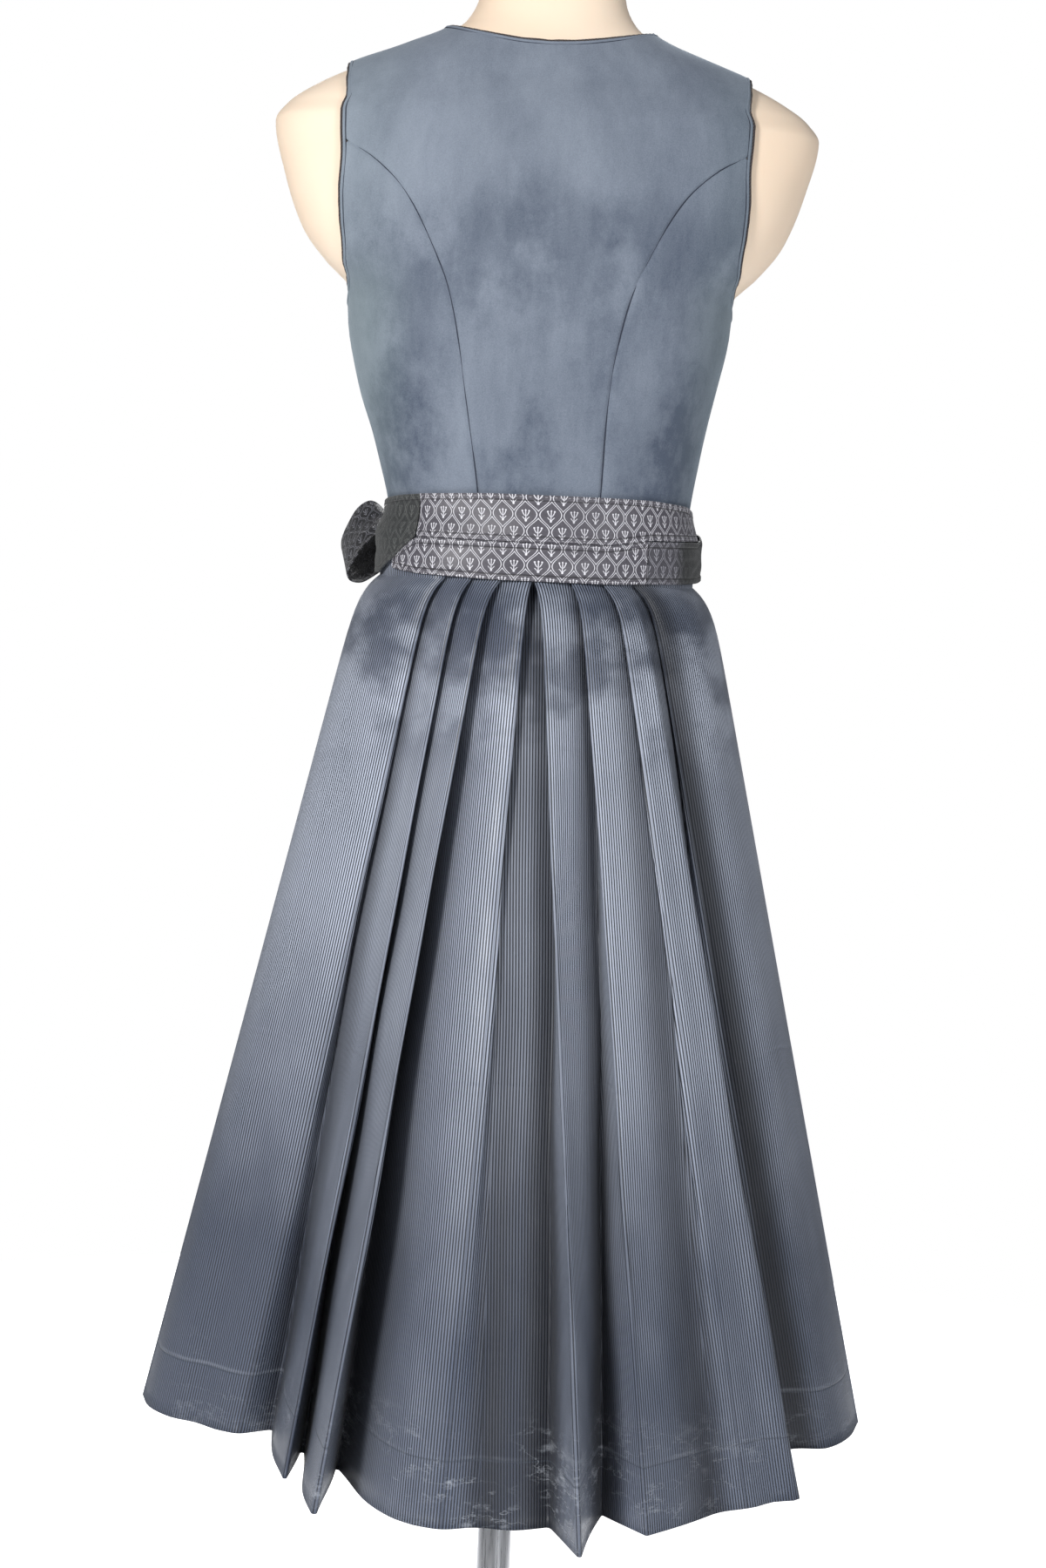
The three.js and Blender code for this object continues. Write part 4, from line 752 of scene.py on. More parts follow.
def jacquard_look(name, ground="#434149", figure="#dadae2", shade=None):
    """An ogee lattice of paired stems with a small lily in each cell, woven in satin. The shade is a
    pair of distances to the wearer's right between which painted shade turns the cloth dark."""
    look = Look(name, Roughness=0.38, Specular_IOR_Level=0.55, Sheen_Weight=0.1)
    where = look.place()
    x, _, _ = look.split(where)
    u, v = look.uv("Cloth")
    wide, tall = OGEE_WIDE, OGEE_TALL
    half = wide / 2
    swing = (v * (2 * math.pi / tall)).cos() * -0.5 + 0.5
    one = ((u * (1 / half) - swing + 1.0).wrap(2.0) - 1.0).abs()
    two = ((u * (1 / half) + swing + 1.0).wrap(2.0) - 1.0).abs()
    line = one.least(two) * (half * 10)
    stems = (line - 0.8).abs().fade(0.12, 0.42)
    flowers = None
    for du, dv in ((0.0, tall / 2), (half, 0.0)):
        a = ((u - du + wide / 2).wrap(wide) - wide / 2).abs() * 10
        b = ((v - dv + tall / 2).wrap(tall) - tall / 2) * 10
        stalk = a.fade(0.16, 0.4) * (b + 0.4).abs().fade(3.6, 4.0)
        petal = (a - (b + 1.2).most(0.0).root() * 1.15).abs().fade(0.18, 0.45)
        petal = petal * (b - 0.9).abs().fade(1.9, 2.2)
        curl = ((a - 2.1).power(2.0) + (b - 2.7).power(2.0)).root().fade(0.4, 0.75)
        tip = (a * 1.5 + (b - 3.0).abs()).fade(0.75, 1.15)
        leaf = (a - (b + 4.4) * 0.8).abs().fade(0.2, 0.48)
        leaf = leaf * (b + 3.1).abs().fade(1.2, 1.5)
        bulb = ((a * 1.1).power(2.0) + (b + 4.6).power(2.0)).root().fade(0.6, 0.95)
        flower = stalk.most(petal).most(curl).most(tip).most(leaf).most(bulb)
        flowers = flower if flowers is None else flowers.most(flower)
    weave = (u + v).wave(TWILL_PITCH) * 0.5 + 0.5
    grain = look.noise(where, 700.0, 2.0)
    wear = look.noise(where, 22.0, 4.0, 0.6).ramp(0.25, 0.6, 0.55, 1.0)
    figure_mask = stems.most(flowers) * wear
    below, above = look.uv("Edge")
    near = below.least(above)
    rim_line = (near - EDGE_LINE_IN).abs().fade(0.02, 0.06)
    dash = u.wave(STITCH_PITCH).ramp(-0.2, 0.1)
    stitch = (near - EDGE_STITCH_IN).abs().fade(0.02, 0.045) * dash
    base = look.mix(grain.ramp(0.3, 0.7), ground, toned(ground, 1.35))
    colour = look.mix(figure_mask, base, figure)
    colour = look.mix(rim_line * 0.7, colour, "#1d1c21")
    colour = look.mix(stitch * 0.3, colour, figure)
    # Painted shade: the cloth turns dark towards the wearer's right end, where it turns away from the
    # light.
    if shade:
        colour = look.mix(x.ramp(-shade[1], -shade[0], 0.88, 0.0), colour, "#191d1b")
    look.colour(colour)
    look.bump(figure_mask * 0.5 + weave * 0.12 - rim_line * 1.2 + stitch * 0.5, 0.0005, 0.7)
    return look.material


def cord_look(name):
    look = Look(name, Roughness=0.75, Sheen_Weight=0.2)
    u, v = look.uv("Cloth")
    strands = (v * 2.0 + u * 3.0).wave(CORD_PITCH)
    colour = look.mix(strands.ramp(-0.6, 0.6), "#1f1a1b", "#4b403e")
    look.colour(colour)
    look.bump(strands, 0.0003, 0.6)
    return look.material


def form_look(name):
    look = Look(name, Roughness=0.6, Specular_IOR_Level=0.2, Subsurface_Weight=0.06,
                Subsurface_Radius=(0.01, 0.006, 0.004))
    where = look.place()
    tone = look.noise(where, 5.0, 3.0, 0.5)
    grain = look.noise(where, 420.0, 3.0, 0.6)
    colour = look.mix(tone.ramp(0.3, 0.7), "#ecd6bf", "#f3e1cd")
    look.colour(colour)
    look.rough(grain.ramp(0.3, 0.7, 0.56, 0.64))
    look.bump(grain, 0.0002, 0.25)
    return look.material


def metal_look(name, tone, rough, scale):
    look = Look(name, Metallic=1.0, Roughness=rough)
    where = look.place()
    brushed = look.noise(where, scale, 2.0, 0.5, stretch=0.04)
    look.colour(look.mix(brushed.ramp(0.25, 0.75), toned(tone, 0.8), tone))
    look.rough(brushed.ramp(0.2, 0.8, rough * 0.8, rough * 1.25))
    look.bump(brushed, 0.0001, 0.08)
    return look.material


def plain_thread_look(name, tone):
    look = Look(name, Roughness=0.85)
    grain = look.noise(look.place(), 1500.0, 2.0)
    look.colour(look.mix(grain, toned(tone, 0.7), tone))
    look.bump(grain, 0.0002, 0.4)
    return look.material


def floor_look(name):
    look = Look(name, Roughness=0.8, Specular_IOR_Level=0.2)
    where = look.place()
    cloud = look.noise(where, 1.3, 3.0, 0.5)
    look.colour(look.mix(cloud, (0.84, 0.84, 0.85), (0.88, 0.88, 0.88)))
    x, y, _ = look.split(where)
    # Painted light: the floor glows, faintly beside the stand and almost white far from it.
    far = (x * x + y * y).root().ramp(0.3, 1.2, 0.3, 0.95)
    look.tree.links.new(far.socket, look.shader.inputs["Emission Strength"])
    look.shader.inputs["Emission Color"].default_value = (1.0, 1.0, 1.0, 1.0)
    return look.material


VELVET = velvet_look("velvet")
RIBBED = ribbed_look("ribbed_satin")
JACQUARD = jacquard_look("jacquard")
# A dimmer copy of the jacquard: painted shade, for the side tie on the wearer's right and the knot.
JACQUARD_SHADED = jacquard_look("jacquard_painted_shade", ground="#3f3e45", figure="#a4a4ae", shade=(0.1, 0.112))
# A darker copy of the jacquard, for the side tie on the wearer's left.
JACQUARD_DARK = jacquard_look("jacquard_darker", ground="#2b2d2e", figure="#5d605f")
# A much darker copy of the jacquard: painted shade for the bow's back loop, whose hollow lies in shadow.
JACQUARD_BOW_SHADED = jacquard_look("jacquard_bow_painted_shade", ground="#1b1b1f", figure="#85868f")
CORD = cord_look("cord")
FORM = form_look("form")
STEEL = metal_look("steel", "#c9cbd0", 0.3, 700.0)
BUTTON = metal_look("button_metal", "#a9abb1", 0.32, 160.0)
NAVY = plain_thread_look("navy_thread", "#272d3d")
FLOOR = floor_look("floor")


CUTS = {}


def remember_cut(obj, middle):
    """The piece's flat size: its longest row, its longest column and its area, in metres."""
    across, up = np.diff(middle, axis=1), np.diff(middle, axis=0)
    width = np.linalg.norm(across, axis=2).sum(1).max() * MM
    length = np.linalg.norm(up, axis=2).sum(0).max() * MM
    cells = np.linalg.norm(np.cross(across[:-1], up[:, :-1]), axis=2).sum() / 2
    cells += np.linalg.norm(np.cross(across[1:], up[:, 1:]), axis=2).sum() / 2
    CUTS[obj.name] = (obj, float(width), float(length), float(cells) * MM * MM)


def declare(name):
    obj, width, length, area = CUTS[name]
    min(max(area, 0.31 * width * length), width * length)


def finished(obj, slot, *nodes):
    """The piece rides on the part's only body and stands for these CAD nodes."""
    if nodes:
        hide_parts(*nodes)
    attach(obj, "root")
    return obj


def cloth_piece(name, slot, outer, inner, material, cloth, edge):
    obj = wall(name + "_looks", outer, inner, material, {"Cloth": cloth, "Edge": edge})
    return finished(obj, slot, name)


# Form and stand

def make_form():
    heights = np.unique(np.concatenate([
        np.arange(FORM_BOTTOM_Z, SHOULDER_Z, 6.0), np.arange(SHOULDER_Z, NECK_BASE_Z, 2.0),
        np.arange(NECK_BASE_Z, NECK_TOP_Z, 4.0),
        FORM_SECTIONS[:, 0]]))
    steps = 128
    turn = circle(steps)
    face = np.where(np.cos(turn) >= 0, 1.0, -1.0)
    loops = []
    for z in heights:
        zz = np.full(steps, z)
        half, _, _, power = section(zz)
        x = half * np.sign(np.sin(turn)) * np.abs(np.sin(turn)) ** (2 / power)
        y = face * side_depth(x, zz, face) * np.abs(np.cos(turn)) ** (2 / power)
        point = np.stack([x, y, zz], 1) - body_normal(x, y, zz) * FORM_CLEAR
        point[:, 0] += sway(z)
        loops.append(point)
    return finished(rings("form_torso_looks", loops, FORM), "form", "form_torso")


def make_stand():
    low, high = BASE_HEIGHT + SEAM_GAP, FORM_BOTTOM_Z - SEAM_GAP
    pole = [(0, low), (FLANGE_RADIUS - 1, low), (FLANGE_RADIUS, low + 1),
            (FLANGE_RADIUS, low + FLANGE_HEIGHT / 2), (POLE_RADIUS + 9, low + FLANGE_HEIGHT * 0.85),
            (POLE_RADIUS + 4, low + FLANGE_HEIGHT), (POLE_RADIUS + 1, low + FLANGE_HEIGHT * 1.5),
            (POLE_RADIUS, low + FLANGE_HEIGHT * 2), (POLE_RADIUS, low + 420),
            (POLE_RADIUS - 0.6, low + 421), (POLE_RADIUS - 0.6, low + 423), (POLE_RADIUS, low + 424),
            (POLE_RADIUS, high - FLANGE_HEIGHT * 2), (POLE_RADIUS + 4, high - FLANGE_HEIGHT),
            (FLANGE_RADIUS, high - FLANGE_HEIGHT / 2), (FLANGE_RADIUS, high), (0, high)]
    edge = 4
    base = [(0, 0), (BASE_RADIUS - edge / 2, 0), (BASE_RADIUS - 0.6, 0.6), (BASE_RADIUS, edge / 2),
            (BASE_RADIUS, BASE_HEIGHT - edge), (BASE_RADIUS - 1.2, BASE_HEIGHT - 1.2),
            (BASE_RADIUS - edge, BASE_HEIGHT), (BASE_RADIUS - 30, BASE_HEIGHT), (0, BASE_HEIGHT)]
    for name, profile, steps, node in (("pole_looks", pole, 64, "form_pole"),
                                       ("base_looks", base, 160, "form_base")):
        piece = rings(name, turned(profile, steps, 0.01), STEEL)
        split_sharp(piece, 38)
        finished(piece, "stand", node)


def split_sharp(obj, degrees):
    """Edges sharper than this stay crisp under smooth shading."""
    mesh = obj.data
    limit = math.cos(math.radians(degrees))
    normals = {}
    for poly in mesh.polygons:
        for key in poly.edge_keys:
            normals.setdefault(key, []).append(poly.normal.copy())
    for edge in mesh.edges:
        pair = normals.get(tuple(sorted(edge.vertices)), [])
        edge.use_edge_sharp = len(pair) == 2 and pair[0].dot(pair[1]) < limit


# Bodice

BODICE_FOLDS = {
    # x and z at both ends, width, depth
    1: [(-30, 1128, 20, 1118, 7, 0.9), (40, 1140, 70, 1122, 6, 0.8), (-75, 1150, -40, 1124, 7, 0.8),
        (100, 1262, 128, 1240, 8, 1.2), (-100, 1262, -126, 1236, 8, 1.1), (92, 1180, 118, 1170, 7, 0.7),
        (-118, 1186, -88, 1172, 7, 0.8), (20, 1400, 70, 1412, 14, 0.8), (-70, 1408, -15, 1398, 14, 0.7),
        (118, 1330, 140, 1290, 9, 1.0), (-118, 1330, -140, 1292, 9, 1.0)],
    -1: [(-60, 1190, -20, 1170, 8, 0.9), (25, 1172, 62, 1192, 8, 0.9), (100, 1290, 128, 1262, 8, 1.1),
         (-100, 1290, -128, 1262, 8, 1.1), (-30, 1130, 25, 1122, 7, 0.8), (80, 1150, 110, 1130, 7, 0.8),
         (-110, 1150, -80, 1130, 7, 0.8)],
}
ROLL_DEPTH, ROLL_WIDTH = 1.0, 1.3
FOLD_SHARE, SOFT_DEPTH = 0.7, 0.35


def neck_rows(face):
    return NECKLINE[face] + [(NECK_POINT_X, float(crest_height(NECK_POINT_X)))]


def armhole_chain(face):
    degrees, rise = ARMHOLE_TURN
    chain = [(math.pi / 2, ARMHOLE_BOTTOM_Z), (math.radians(degrees), ARMHOLE_BOTTOM_Z + rise)]
    rows = list(ARMHOLE[face])
    below, tip = rows[-2], rows[-1]
    near = [(lerp(below[0], tip[0], s), lerp(below[1], tip[1], s)) for s in (0.55, 0.82, 0.95)]
    for z, x in rows[:-1] + near + [tip]:
        chain.append((float(angle_of(x, z)), z))
    return chain


def panel(name, cells, face, by_angle, columns_step):
    """A bodice panel. Cells hold a distance or an angle with a sign, a height, and a nudge."""
    cells = np.asarray(cells, float)
    rows, cols = cells.shape[:2]
    ends = (0.03, 0.08, 0.16, 0.3) if cols > 9 else (0.02, 0.05, 0.1, 0.2)
    across = edged(cols - 1, columns_step, ends)
    up = edged(rows - 1, 0.25, (0.02, 0.06, 0.12))
    grid = refined(cells, across, up)
    x, z, nudge = grid[..., 0], grid[..., 1], grid[..., 2]
    if by_angle:
        x = np.sign(cells[0, 1, 0]) * distance_of(np.abs(x), z)
    middle, _ = on_body(x, z, face, np.zeros_like(x))
    run, climb = run_along(middle, 1), run_along(middle)
    roll = np.exp(-(run / ROLL_WIDTH) ** 2) + np.exp(-((run[:, -1:] - run) / ROLL_WIDTH) ** 2)
    folds = soft_folds(x, z, BODICE_FOLDS[face])
    soft = SOFT_DEPTH * np.sin(x * 0.11 + z * 0.03) * np.sin(z * 0.071 + 1.3)
    lift = BODICE_CLEAR + BODICE_WALL - ROLL_DEPTH * np.minimum(roll, 1) - folds * FOLD_SHARE + soft
    outer, _ = on_body(x, z, face, np.maximum(lift, BODICE_CLEAR + 0.5))
    inner, _ = on_body(x, z, face, np.full_like(x, BODICE_CLEAR))
    outer[..., 1] += nudge
    inner[..., 1] += nudge
    uv = np.stack([run, climb], axis=-1) / 10
    obj = wall(name + "_looks", outer, inner, VELVET, {"Cloth": uv})
    return finished(obj, "velvet", "bodice_" + name)


def crest_nudge(face):
    return face * (SEAM_GAP / 2 + 0.1)


def back_centre():
    neck_share = 0.52
    neck = [neck_share * x / NECK_POINT_X for x, _ in neck_rows(1)]
    half = neck[1:] + [0.68, 0.84, 1]
    across = [-u for u in reversed(half)] + [0] + half
    cells = []
    for z in SEAM_ROWS[1]:
        reach = float(pairs_at(PRINCESS_SEAM[1], z)) - SEAM_GAP / 2
        cells.append([(u * reach, z, 0) for u in across])
    top_z, top_x = PRINCESS_SEAM[1][-1]
    for v in SHOULDER_ROWS[1]:
        row = []
        for u in across:
            side = abs(u)
            if side < neck_share:
                x = side / neck_share * NECK_POINT_X
                z, nudge = float(pairs_at(neck_rows(1), x)), 0
            else:
                x = lerp(NECK_POINT_X, ARMHOLE[1][-1][1], (side - neck_share) / (1 - neck_share))
                z, nudge = float(crest_height(x)), crest_nudge(1)
            x = math.copysign(x, u) if u else 0
            row.append((lerp(u * top_x, x, v), lerp(top_z, z, v), nudge if v == 1 else 0))
        cells.append(row)
    return panel("back_centre", cells, 1, False, 0.25)


def along_chain(chain, share):
    at = min(max(share, 0), 1) * (len(chain) - 1)
    i = min(int(at), len(chain) - 2)
    return tuple(lerp(chain[i][k], chain[i + 1][k], at - i) for k in (0, 1))


def side_panel(face, hand):
    chain = armhole_chain(face)
    seam = PRINCESS_SEAM[face]
    stop = next(i for i, row in enumerate(chain) if row[1] == seam[-1][0])
    meet = chain[:stop + 1]
    heights = SEAM_ROWS[face]
    last = len(heights) - 1
    top_share = 0.8
    columns = 7
    cells = []
    for r, height in enumerate(heights):
        z = lerp(heights[last - 1], height, top_share) if r == last else height
        inner = (float(angle_of(float(pairs_at(seam, z)) + SEAM_GAP / 2, z)), z)
        climb = (r - 1 + top_share if r == last else r) - SIDE_SEAM_ROWS
        if climb <= 0:
            outer = (math.radians(SIDE_SEAM_DEGREES),
                     lerp(heights[0], ARMHOLE_BOTTOM_Z, r / SIDE_SEAM_ROWS))
        else:
            outer = along_chain(meet, climb / (last - SIDE_SEAM_ROWS))
        row = []
        for c in range(columns + 1):
            s = c / columns
            nudge = face * 0.12 if c == columns and climb <= 0 else 0
            row.append((hand * lerp(inner[0], outer[0], s), lerp(inner[1], outer[1], s), nudge))
        cells.append(row)
    return panel(f"{FACES[face]}_side_{SIDES[hand]}", cells, face, True, 0.2)


def front_panel(hand):
    start = LAP_X + SEAM_GAP if hand > 0 else -LAP_X
    neck = neck_rows(-1)
    neck[0] = (start, float(pairs_at(neck_rows(-1), abs(start))))
    heights = SEAM_ROWS[-1]
    last = len(heights) - 1
    columns = 7

    def row(inner, outer, v):
        cells = []
        for c in range(columns + 1):
            x = lerp(inner[0], outer[0], c / columns)
            if v == 1:
                cells.append((hand * x, float(crest_height(x)), crest_nudge(-1)))
            else:
                rise = (c / columns) ** lerp(FRONT_ROW_BEND, 1, v)
                cells.append((hand * x, lerp(inner[1], outer[1], rise), 0))
        return cells

    cells = []
    for r, z in enumerate(heights):
        inner = (start, lerp(heights[0], neck[0][1], r / last))
        cells.append(row(inner, (float(pairs_at(PRINCESS_SEAM[-1], z)) - SEAM_GAP / 2, z), 0))
    arm = ARMHOLE[-1]
    for i, v in enumerate(SHOULDER_ROWS[-1]):
        z = lerp(heights[last], arm[-1][0], v)
        edge = float(np.interp(z, [a for a, _ in arm], [b for _, b in arm]))
        cells.append(row(neck[i + 1], (edge, z), v))
    return panel(f"front_{SIDES[hand]}", cells, -1, False, 0.2)


def edge_frames(x, z, face, turn, closed):
    """Points on the middle of the bodice's edge, the directions away from the cloth, normals."""
    points, normals = on_body(x, z, face, np.full(len(x), BODICE_CLEAR + BODICE_WALL / 2))
    if closed:
        along = np.roll(points, -1, 0) - np.roll(points, 1, 0)
    else:
        along = np.gradient(points, axis=0)
    away = np.cross(along, normals)
    away *= turn / np.linalg.norm(away, axis=1, keepdims=True)
    return points, away, normals


def trim_edge(name, x, z, face, turn, closed, node):
    """The twisted cord at an edge, and beside it a turned rim with its seam line."""
    points, away, normals = edge_frames(x, z, face, turn, closed)
    cord = tube(name + "_cord", points + away * (PIPING_RADIUS + PIPING_STAND), normals,
                PIPING_RADIUS, CORD, 12, closed, twist=1.1, lobes=3, lobe_depth=0.28)
    finished(cord, "piping", node)
    for word, (inset, rise, radius), material, sides, slot in (
            ("rim", TRIM_RIM, VELVET, 12, "velvet"), ("line", TRIM_LINE, NAVY, 6, "piping")):
        path = points - away * inset + normals * rise
        finished(tube(f"{name}_{word}", path, normals, radius, material, sides, closed), slot)


def armhole_trim(hand):
    def half(face):
        chain = np.array(armhole_chain(face))
        at = spline(chain, np.linspace(0, len(chain) - 1, (len(chain) - 1) * 9 + 1))
        x = hand * distance_of(np.minimum(at[:, 0], math.pi / 2), at[:, 1])
        return x, at[:, 1], np.full(len(at), face)
    back, front = half(1), half(-1)
    x, z, face = [np.concatenate([f[::-1][1:-1], b]) for f, b in zip(front, back)]
    side = SIDES[hand]
    trim_edge(f"armhole_{side}", x, z, face, -hand, True, f"piping_armhole_{side}")


def neck_trim():
    def half(face, start):
        rows = neck_rows(face)
        rows[0] = (start, float(pairs_at(neck_rows(face), abs(start))))
        at = spline(np.array(rows), np.linspace(0, len(rows) - 1, (len(rows) - 1) * 10 + 1))
        return at[:, 0], at[:, 1], np.full(len(at), face)
    left, back, right = half(-1, LAP_X + 0.9), half(1, 0), half(-1, -LAP_X + 0.6)
    parts = [left, [v[::-1][1:] for v in back], [v[1:] for v in back], [v[::-1][1:] for v in right]]
    signs = [1, 1, -1, -1]
    x = np.concatenate([s * p[0] for s, p in zip(signs, parts)])
    z = np.concatenate([p[1] for p in parts])
    face = np.concatenate([p[2] for p in parts])
    trim_edge("neck", x, z, face, -1, False, "piping_neck")


def seam_threads(hand):
    """The stitching that closes each seam, just under the cloth's outer face."""
    lines = {}
    for face, word in FACES.items():
        z = np.linspace(SEAM_ROWS[face][0] + 1, SEAM_ROWS[face][-1] - 1, 70)
        lines[word] = (np.array([float(pairs_at(PRINCESS_SEAM[face], v)) for v in z]), z, face)
    x = np.linspace(NECK_POINT_X + 3, ARMHOLE[1][-1][1] - 3, 30)
    lines["shoulder"] = (x, crest_height(x), 1)
    z = np.linspace(SEAM_ROWS[1][0] + 1, ARMHOLE_BOTTOM_Z - 3, 40)
    lines["side"] = (distance_of(math.pi / 2, z), z, 1)
    side = SIDES[hand]
    for word, (x, z, face) in lines.items():
        share = 1 if word == "shoulder" else SEAM_THREAD_DEPTH
        points, normals = on_body(hand * x, z, face, np.full(len(x), BODICE_CLEAR + share * BODICE_WALL))
        if word == "shoulder":
            for part, shift in SHOULDER_TURNS.items():
                path = points - normals * SHOULDER_TURN_RADIUS
                path[:, 1] += shift
                edge = tube(f"seam_turned_{part}_{side}", path, normals, SHOULDER_TURN_RADIUS,
                            VELVET, 12)
                finished(edge, "velvet")
            points = points - normals * SHOULDER_THREAD_SINK
        thread = tube(f"seam_{word}_{side}", points, normals, SEAM_THREAD_RADIUS, NAVY, 6)
        finished(thread, "piping")


def make_buttons():
    for i in range(BUTTON_COUNT):
        z = BUTTON_LOW + i * BUTTON_PITCH
        point, normal = on_body(np.array([0.0]), np.array([float(z)]), -1, np.array(
            [BODICE_CLEAR + BODICE_WALL + SEAM_GAP + BUTTON_STAND]))
        r, h = BUTTON_RADIUS, BUTTON_HEIGHT
        profile = [(0, -0.6), (2, -0.6), (2.2, 0), (r * 0.9, 0), (r, 0.5), (r, h * 0.45),
                   (r * 0.95, h * 0.7), (r * 0.84, h * 0.74), (r * 0.8, h * 0.6), (r * 0.74, h * 0.58),
                   (r * 0.6, h * 0.82), (r * 0.35, h * 0.97), (0, h)]
        spin = np.array(Vector(normal[0]).to_track_quat("Z", "Y").to_matrix())
        loops = [ring @ spin.T + point[0] for ring in turned(profile, 40, 0.02)]
        piece = rings(f"button_{i + 1}_looks", loops, BUTTON)
        split_sharp(piece, 50)
        finished(piece, "button", f"button_{i + 1}")


# Skirt

def on_ring(angle, lift):
    sin, cos = np.sin(angle), np.cos(angle)
    depth = np.where(cos >= 0, RING_BACK, RING_FRONT)
    x = RING_HALF * np.sign(sin) * np.abs(sin) ** (2 / RING_POWER)
    y = depth * np.sign(cos) * np.abs(cos) ** (2 / RING_POWER)
    nx = np.sign(x) * (np.abs(x) / RING_HALF) ** (RING_POWER - 1) / RING_HALF
    ny = np.sign(y) * (np.abs(y) / depth) ** (RING_POWER - 1) / depth
    size = np.hypot(nx, ny)
    return np.stack([x + nx / size * lift, y + ny / size * lift], axis=-1)


def waist_angle(distance):
    half = RING_HALF + PLEAT_STACK
    return math.copysign(math.asin((abs(distance) / half) ** (RING_POWER / 2)), distance)


def flare_at(z):
    t = np.clip((FLARE_Z - np.asarray(z, float)) / (FLARE_Z - HEM_Z), 0, 1)
    return t + FLARE_SPRING * (1 - np.exp(-t / FLARE_SPRING_LENGTH)) * (1 - t)


def hem_fold(before, fold, after):
    corner = np.array(fold[2:4], float)
    leg_in = np.array(before[2:4], float) - corner
    leg_out = np.array(after[2:4], float) - corner
    leg_in /= np.linalg.norm(leg_in)
    leg_out /= np.linalg.norm(leg_out)
    half_angle = math.acos(np.clip(leg_in @ leg_out, -1, 1)) / 2
    least = 0.72 * LAYER_STEP
    if fold[4] * math.sin(half_angle) < least:
        back = leg_in + leg_out
        back *= least / np.linalg.norm(back)
        apart = leg_in - leg_out
        apart *= least / np.linalg.norm(apart)
        return [corner + back + apart, corner, corner + back - apart]
    enter, leave = corner + leg_in * fold[4], corner + leg_out * fold[4]
    return [enter, corner * 0.5 + enter * 0.25 + leave * 0.25, leave]


def waist_fold(fold, side):
    angle = waist_angle(fold[1])
    outward = side * LAYER_STEP / 2 / RING_HALF
    ridge = fold[0] == "ridge"
    high = PLEAT_STACK if ridge else LAYER_STEP
    low = PLEAT_STACK - LAYER_STEP if ridge else 0
    tip = angle - outward if ridge else angle + outward
    layers = (high, low) if side > 0 else (low, high)
    return [(angle, layers[0]), (tip, (high + low) / 2), (angle, layers[1])]


def skirt_back_points():
    """Rows of hem x, hem y, waist angle, lift and dip, and which rows are ridges or hollows."""
    rows = SKIRT_BACK
    middle = next(i for i, r in enumerate(rows) if r[0] == "hollow" and r[1] < 0)
    points, known, tips = [], [], []
    for i, row in enumerate(rows):
        if row[0] == "wave":
            points.append([row[2], row[3], row[1], 0, 0])
            known.append(False)
        elif row[0] == "seam":
            angle = math.copysign(math.pi / 2 - SEAM_GAP / 2 / RING_HALF, row[2])
            tips.append((len(points), "seam"))
            points.append([row[2], row[3], angle, SEAM_LIFT, 0])
            known.append(True)
        else:
            side = 1 if i < middle else -1
            dip = 1 if row[0] == "hollow" else 0
            tips.append((len(points) + 1, row[0]))
            for hem, waist in zip(hem_fold(rows[i - 1], row, rows[i + 1]), waist_fold(row, side)):
                points.append([hem[0], hem[1], waist[0], waist[1], dip])
                known.append(True)
    sure = [i for i, k in enumerate(known) if k]
    for i, point in enumerate(points):
        if known[i]:
            continue
        before, after = max(s for s in sure if s < i), min(s for s in sure if s > i)
        a, b = points[before], points[after]
        share = (i - before) / (after - before)
        if point[2] is not None:
            share = (waist_angle(point[2]) - a[2]) / (b[2] - a[2])
        points[i] = [point[0], point[1]] + [lerp(a[k], b[k], share) for k in (2, 3, 4)]
    return np.array(points, float), tips


def hem_curve(points, tips, step):
    """Finer rows along the hem: smooth between folds and tight at them. Also the ridges and
    hollows as places among the new rows."""
    hem = points[:, :2]
    gap = np.linalg.norm(np.diff(hem, axis=0), axis=1)
    run = np.concatenate([[0], np.cumsum(gap)])
    tangent = np.zeros_like(hem)
    last = len(hem) - 1
    folds = {index for index, kind in tips if kind != "seam"}
    for i in range(last + 1):
        if i == 0 or i == last:
            a, b = (0, 1) if i == 0 else (last - 1, last)
        elif i + 1 in folds:
            a, b = i - 1, i
        elif i - 1 in folds:
            a, b = i, i + 1
        else:
            a, b = i - 1, i + 1
        tangent[i] = (hem[b] - hem[a]) / (run[b] - run[a])
    out, places = [], {}
    for i in range(last):
        pieces = 3 if i in folds or i + 1 in folds else max(2, int(round(gap[i] / step)))
        places[i] = len(out)
        for k in range(pieces):
            s = k / pieces
            spot = cubic(hem[i], hem[i + 1], tangent[i] * gap[i], tangent[i + 1] * gap[i], s)
            rest = lerp(points[i, 2:], points[i + 1, 2:], s)
            out.append([*spot, *rest])
    places[last] = len(out)
    out.append(list(points[last]))
    return np.array(out), [(places[index], kind) for index, kind in tips]


def moved_line(line, distance):
    """A plan line moved sideways, to the right of its direction."""
    along = np.diff(line, axis=0)
    along /= np.maximum(np.linalg.norm(along, axis=1, keepdims=True), 1e-9)
    normal = np.stack([along[:, 1], -along[:, 0]], 1)
    before = np.concatenate([normal[:1], normal])
    after = np.concatenate([normal, normal[-1:]])
    mitre = before + after
    mitre /= np.maximum(np.linalg.norm(mitre, axis=1, keepdims=True), 1e-9)
    stretch = np.minimum(1 / np.maximum((mitre * after).sum(1), 0.1), 1.35)
    return line + mitre * (np.broadcast_to(distance, (len(line),)) * stretch)[:, None]


def hanging(levels, lines, wall_thickness):
    """Outer and inner grids of a wall from plan lines at heights."""
    grids = []
    for side in (1, -1):
        rows = []
        for z, line in zip(levels, lines):
            flat = moved_line(line, side * wall_thickness / 2)
            zz = z if np.ndim(z) else np.full(len(line), z)
            rows.append(np.concatenate([flat, np.reshape(zz, (-1, 1))], 1))
        grids.append(np.array(rows))
    return grids


WIDE_FOLD = 90


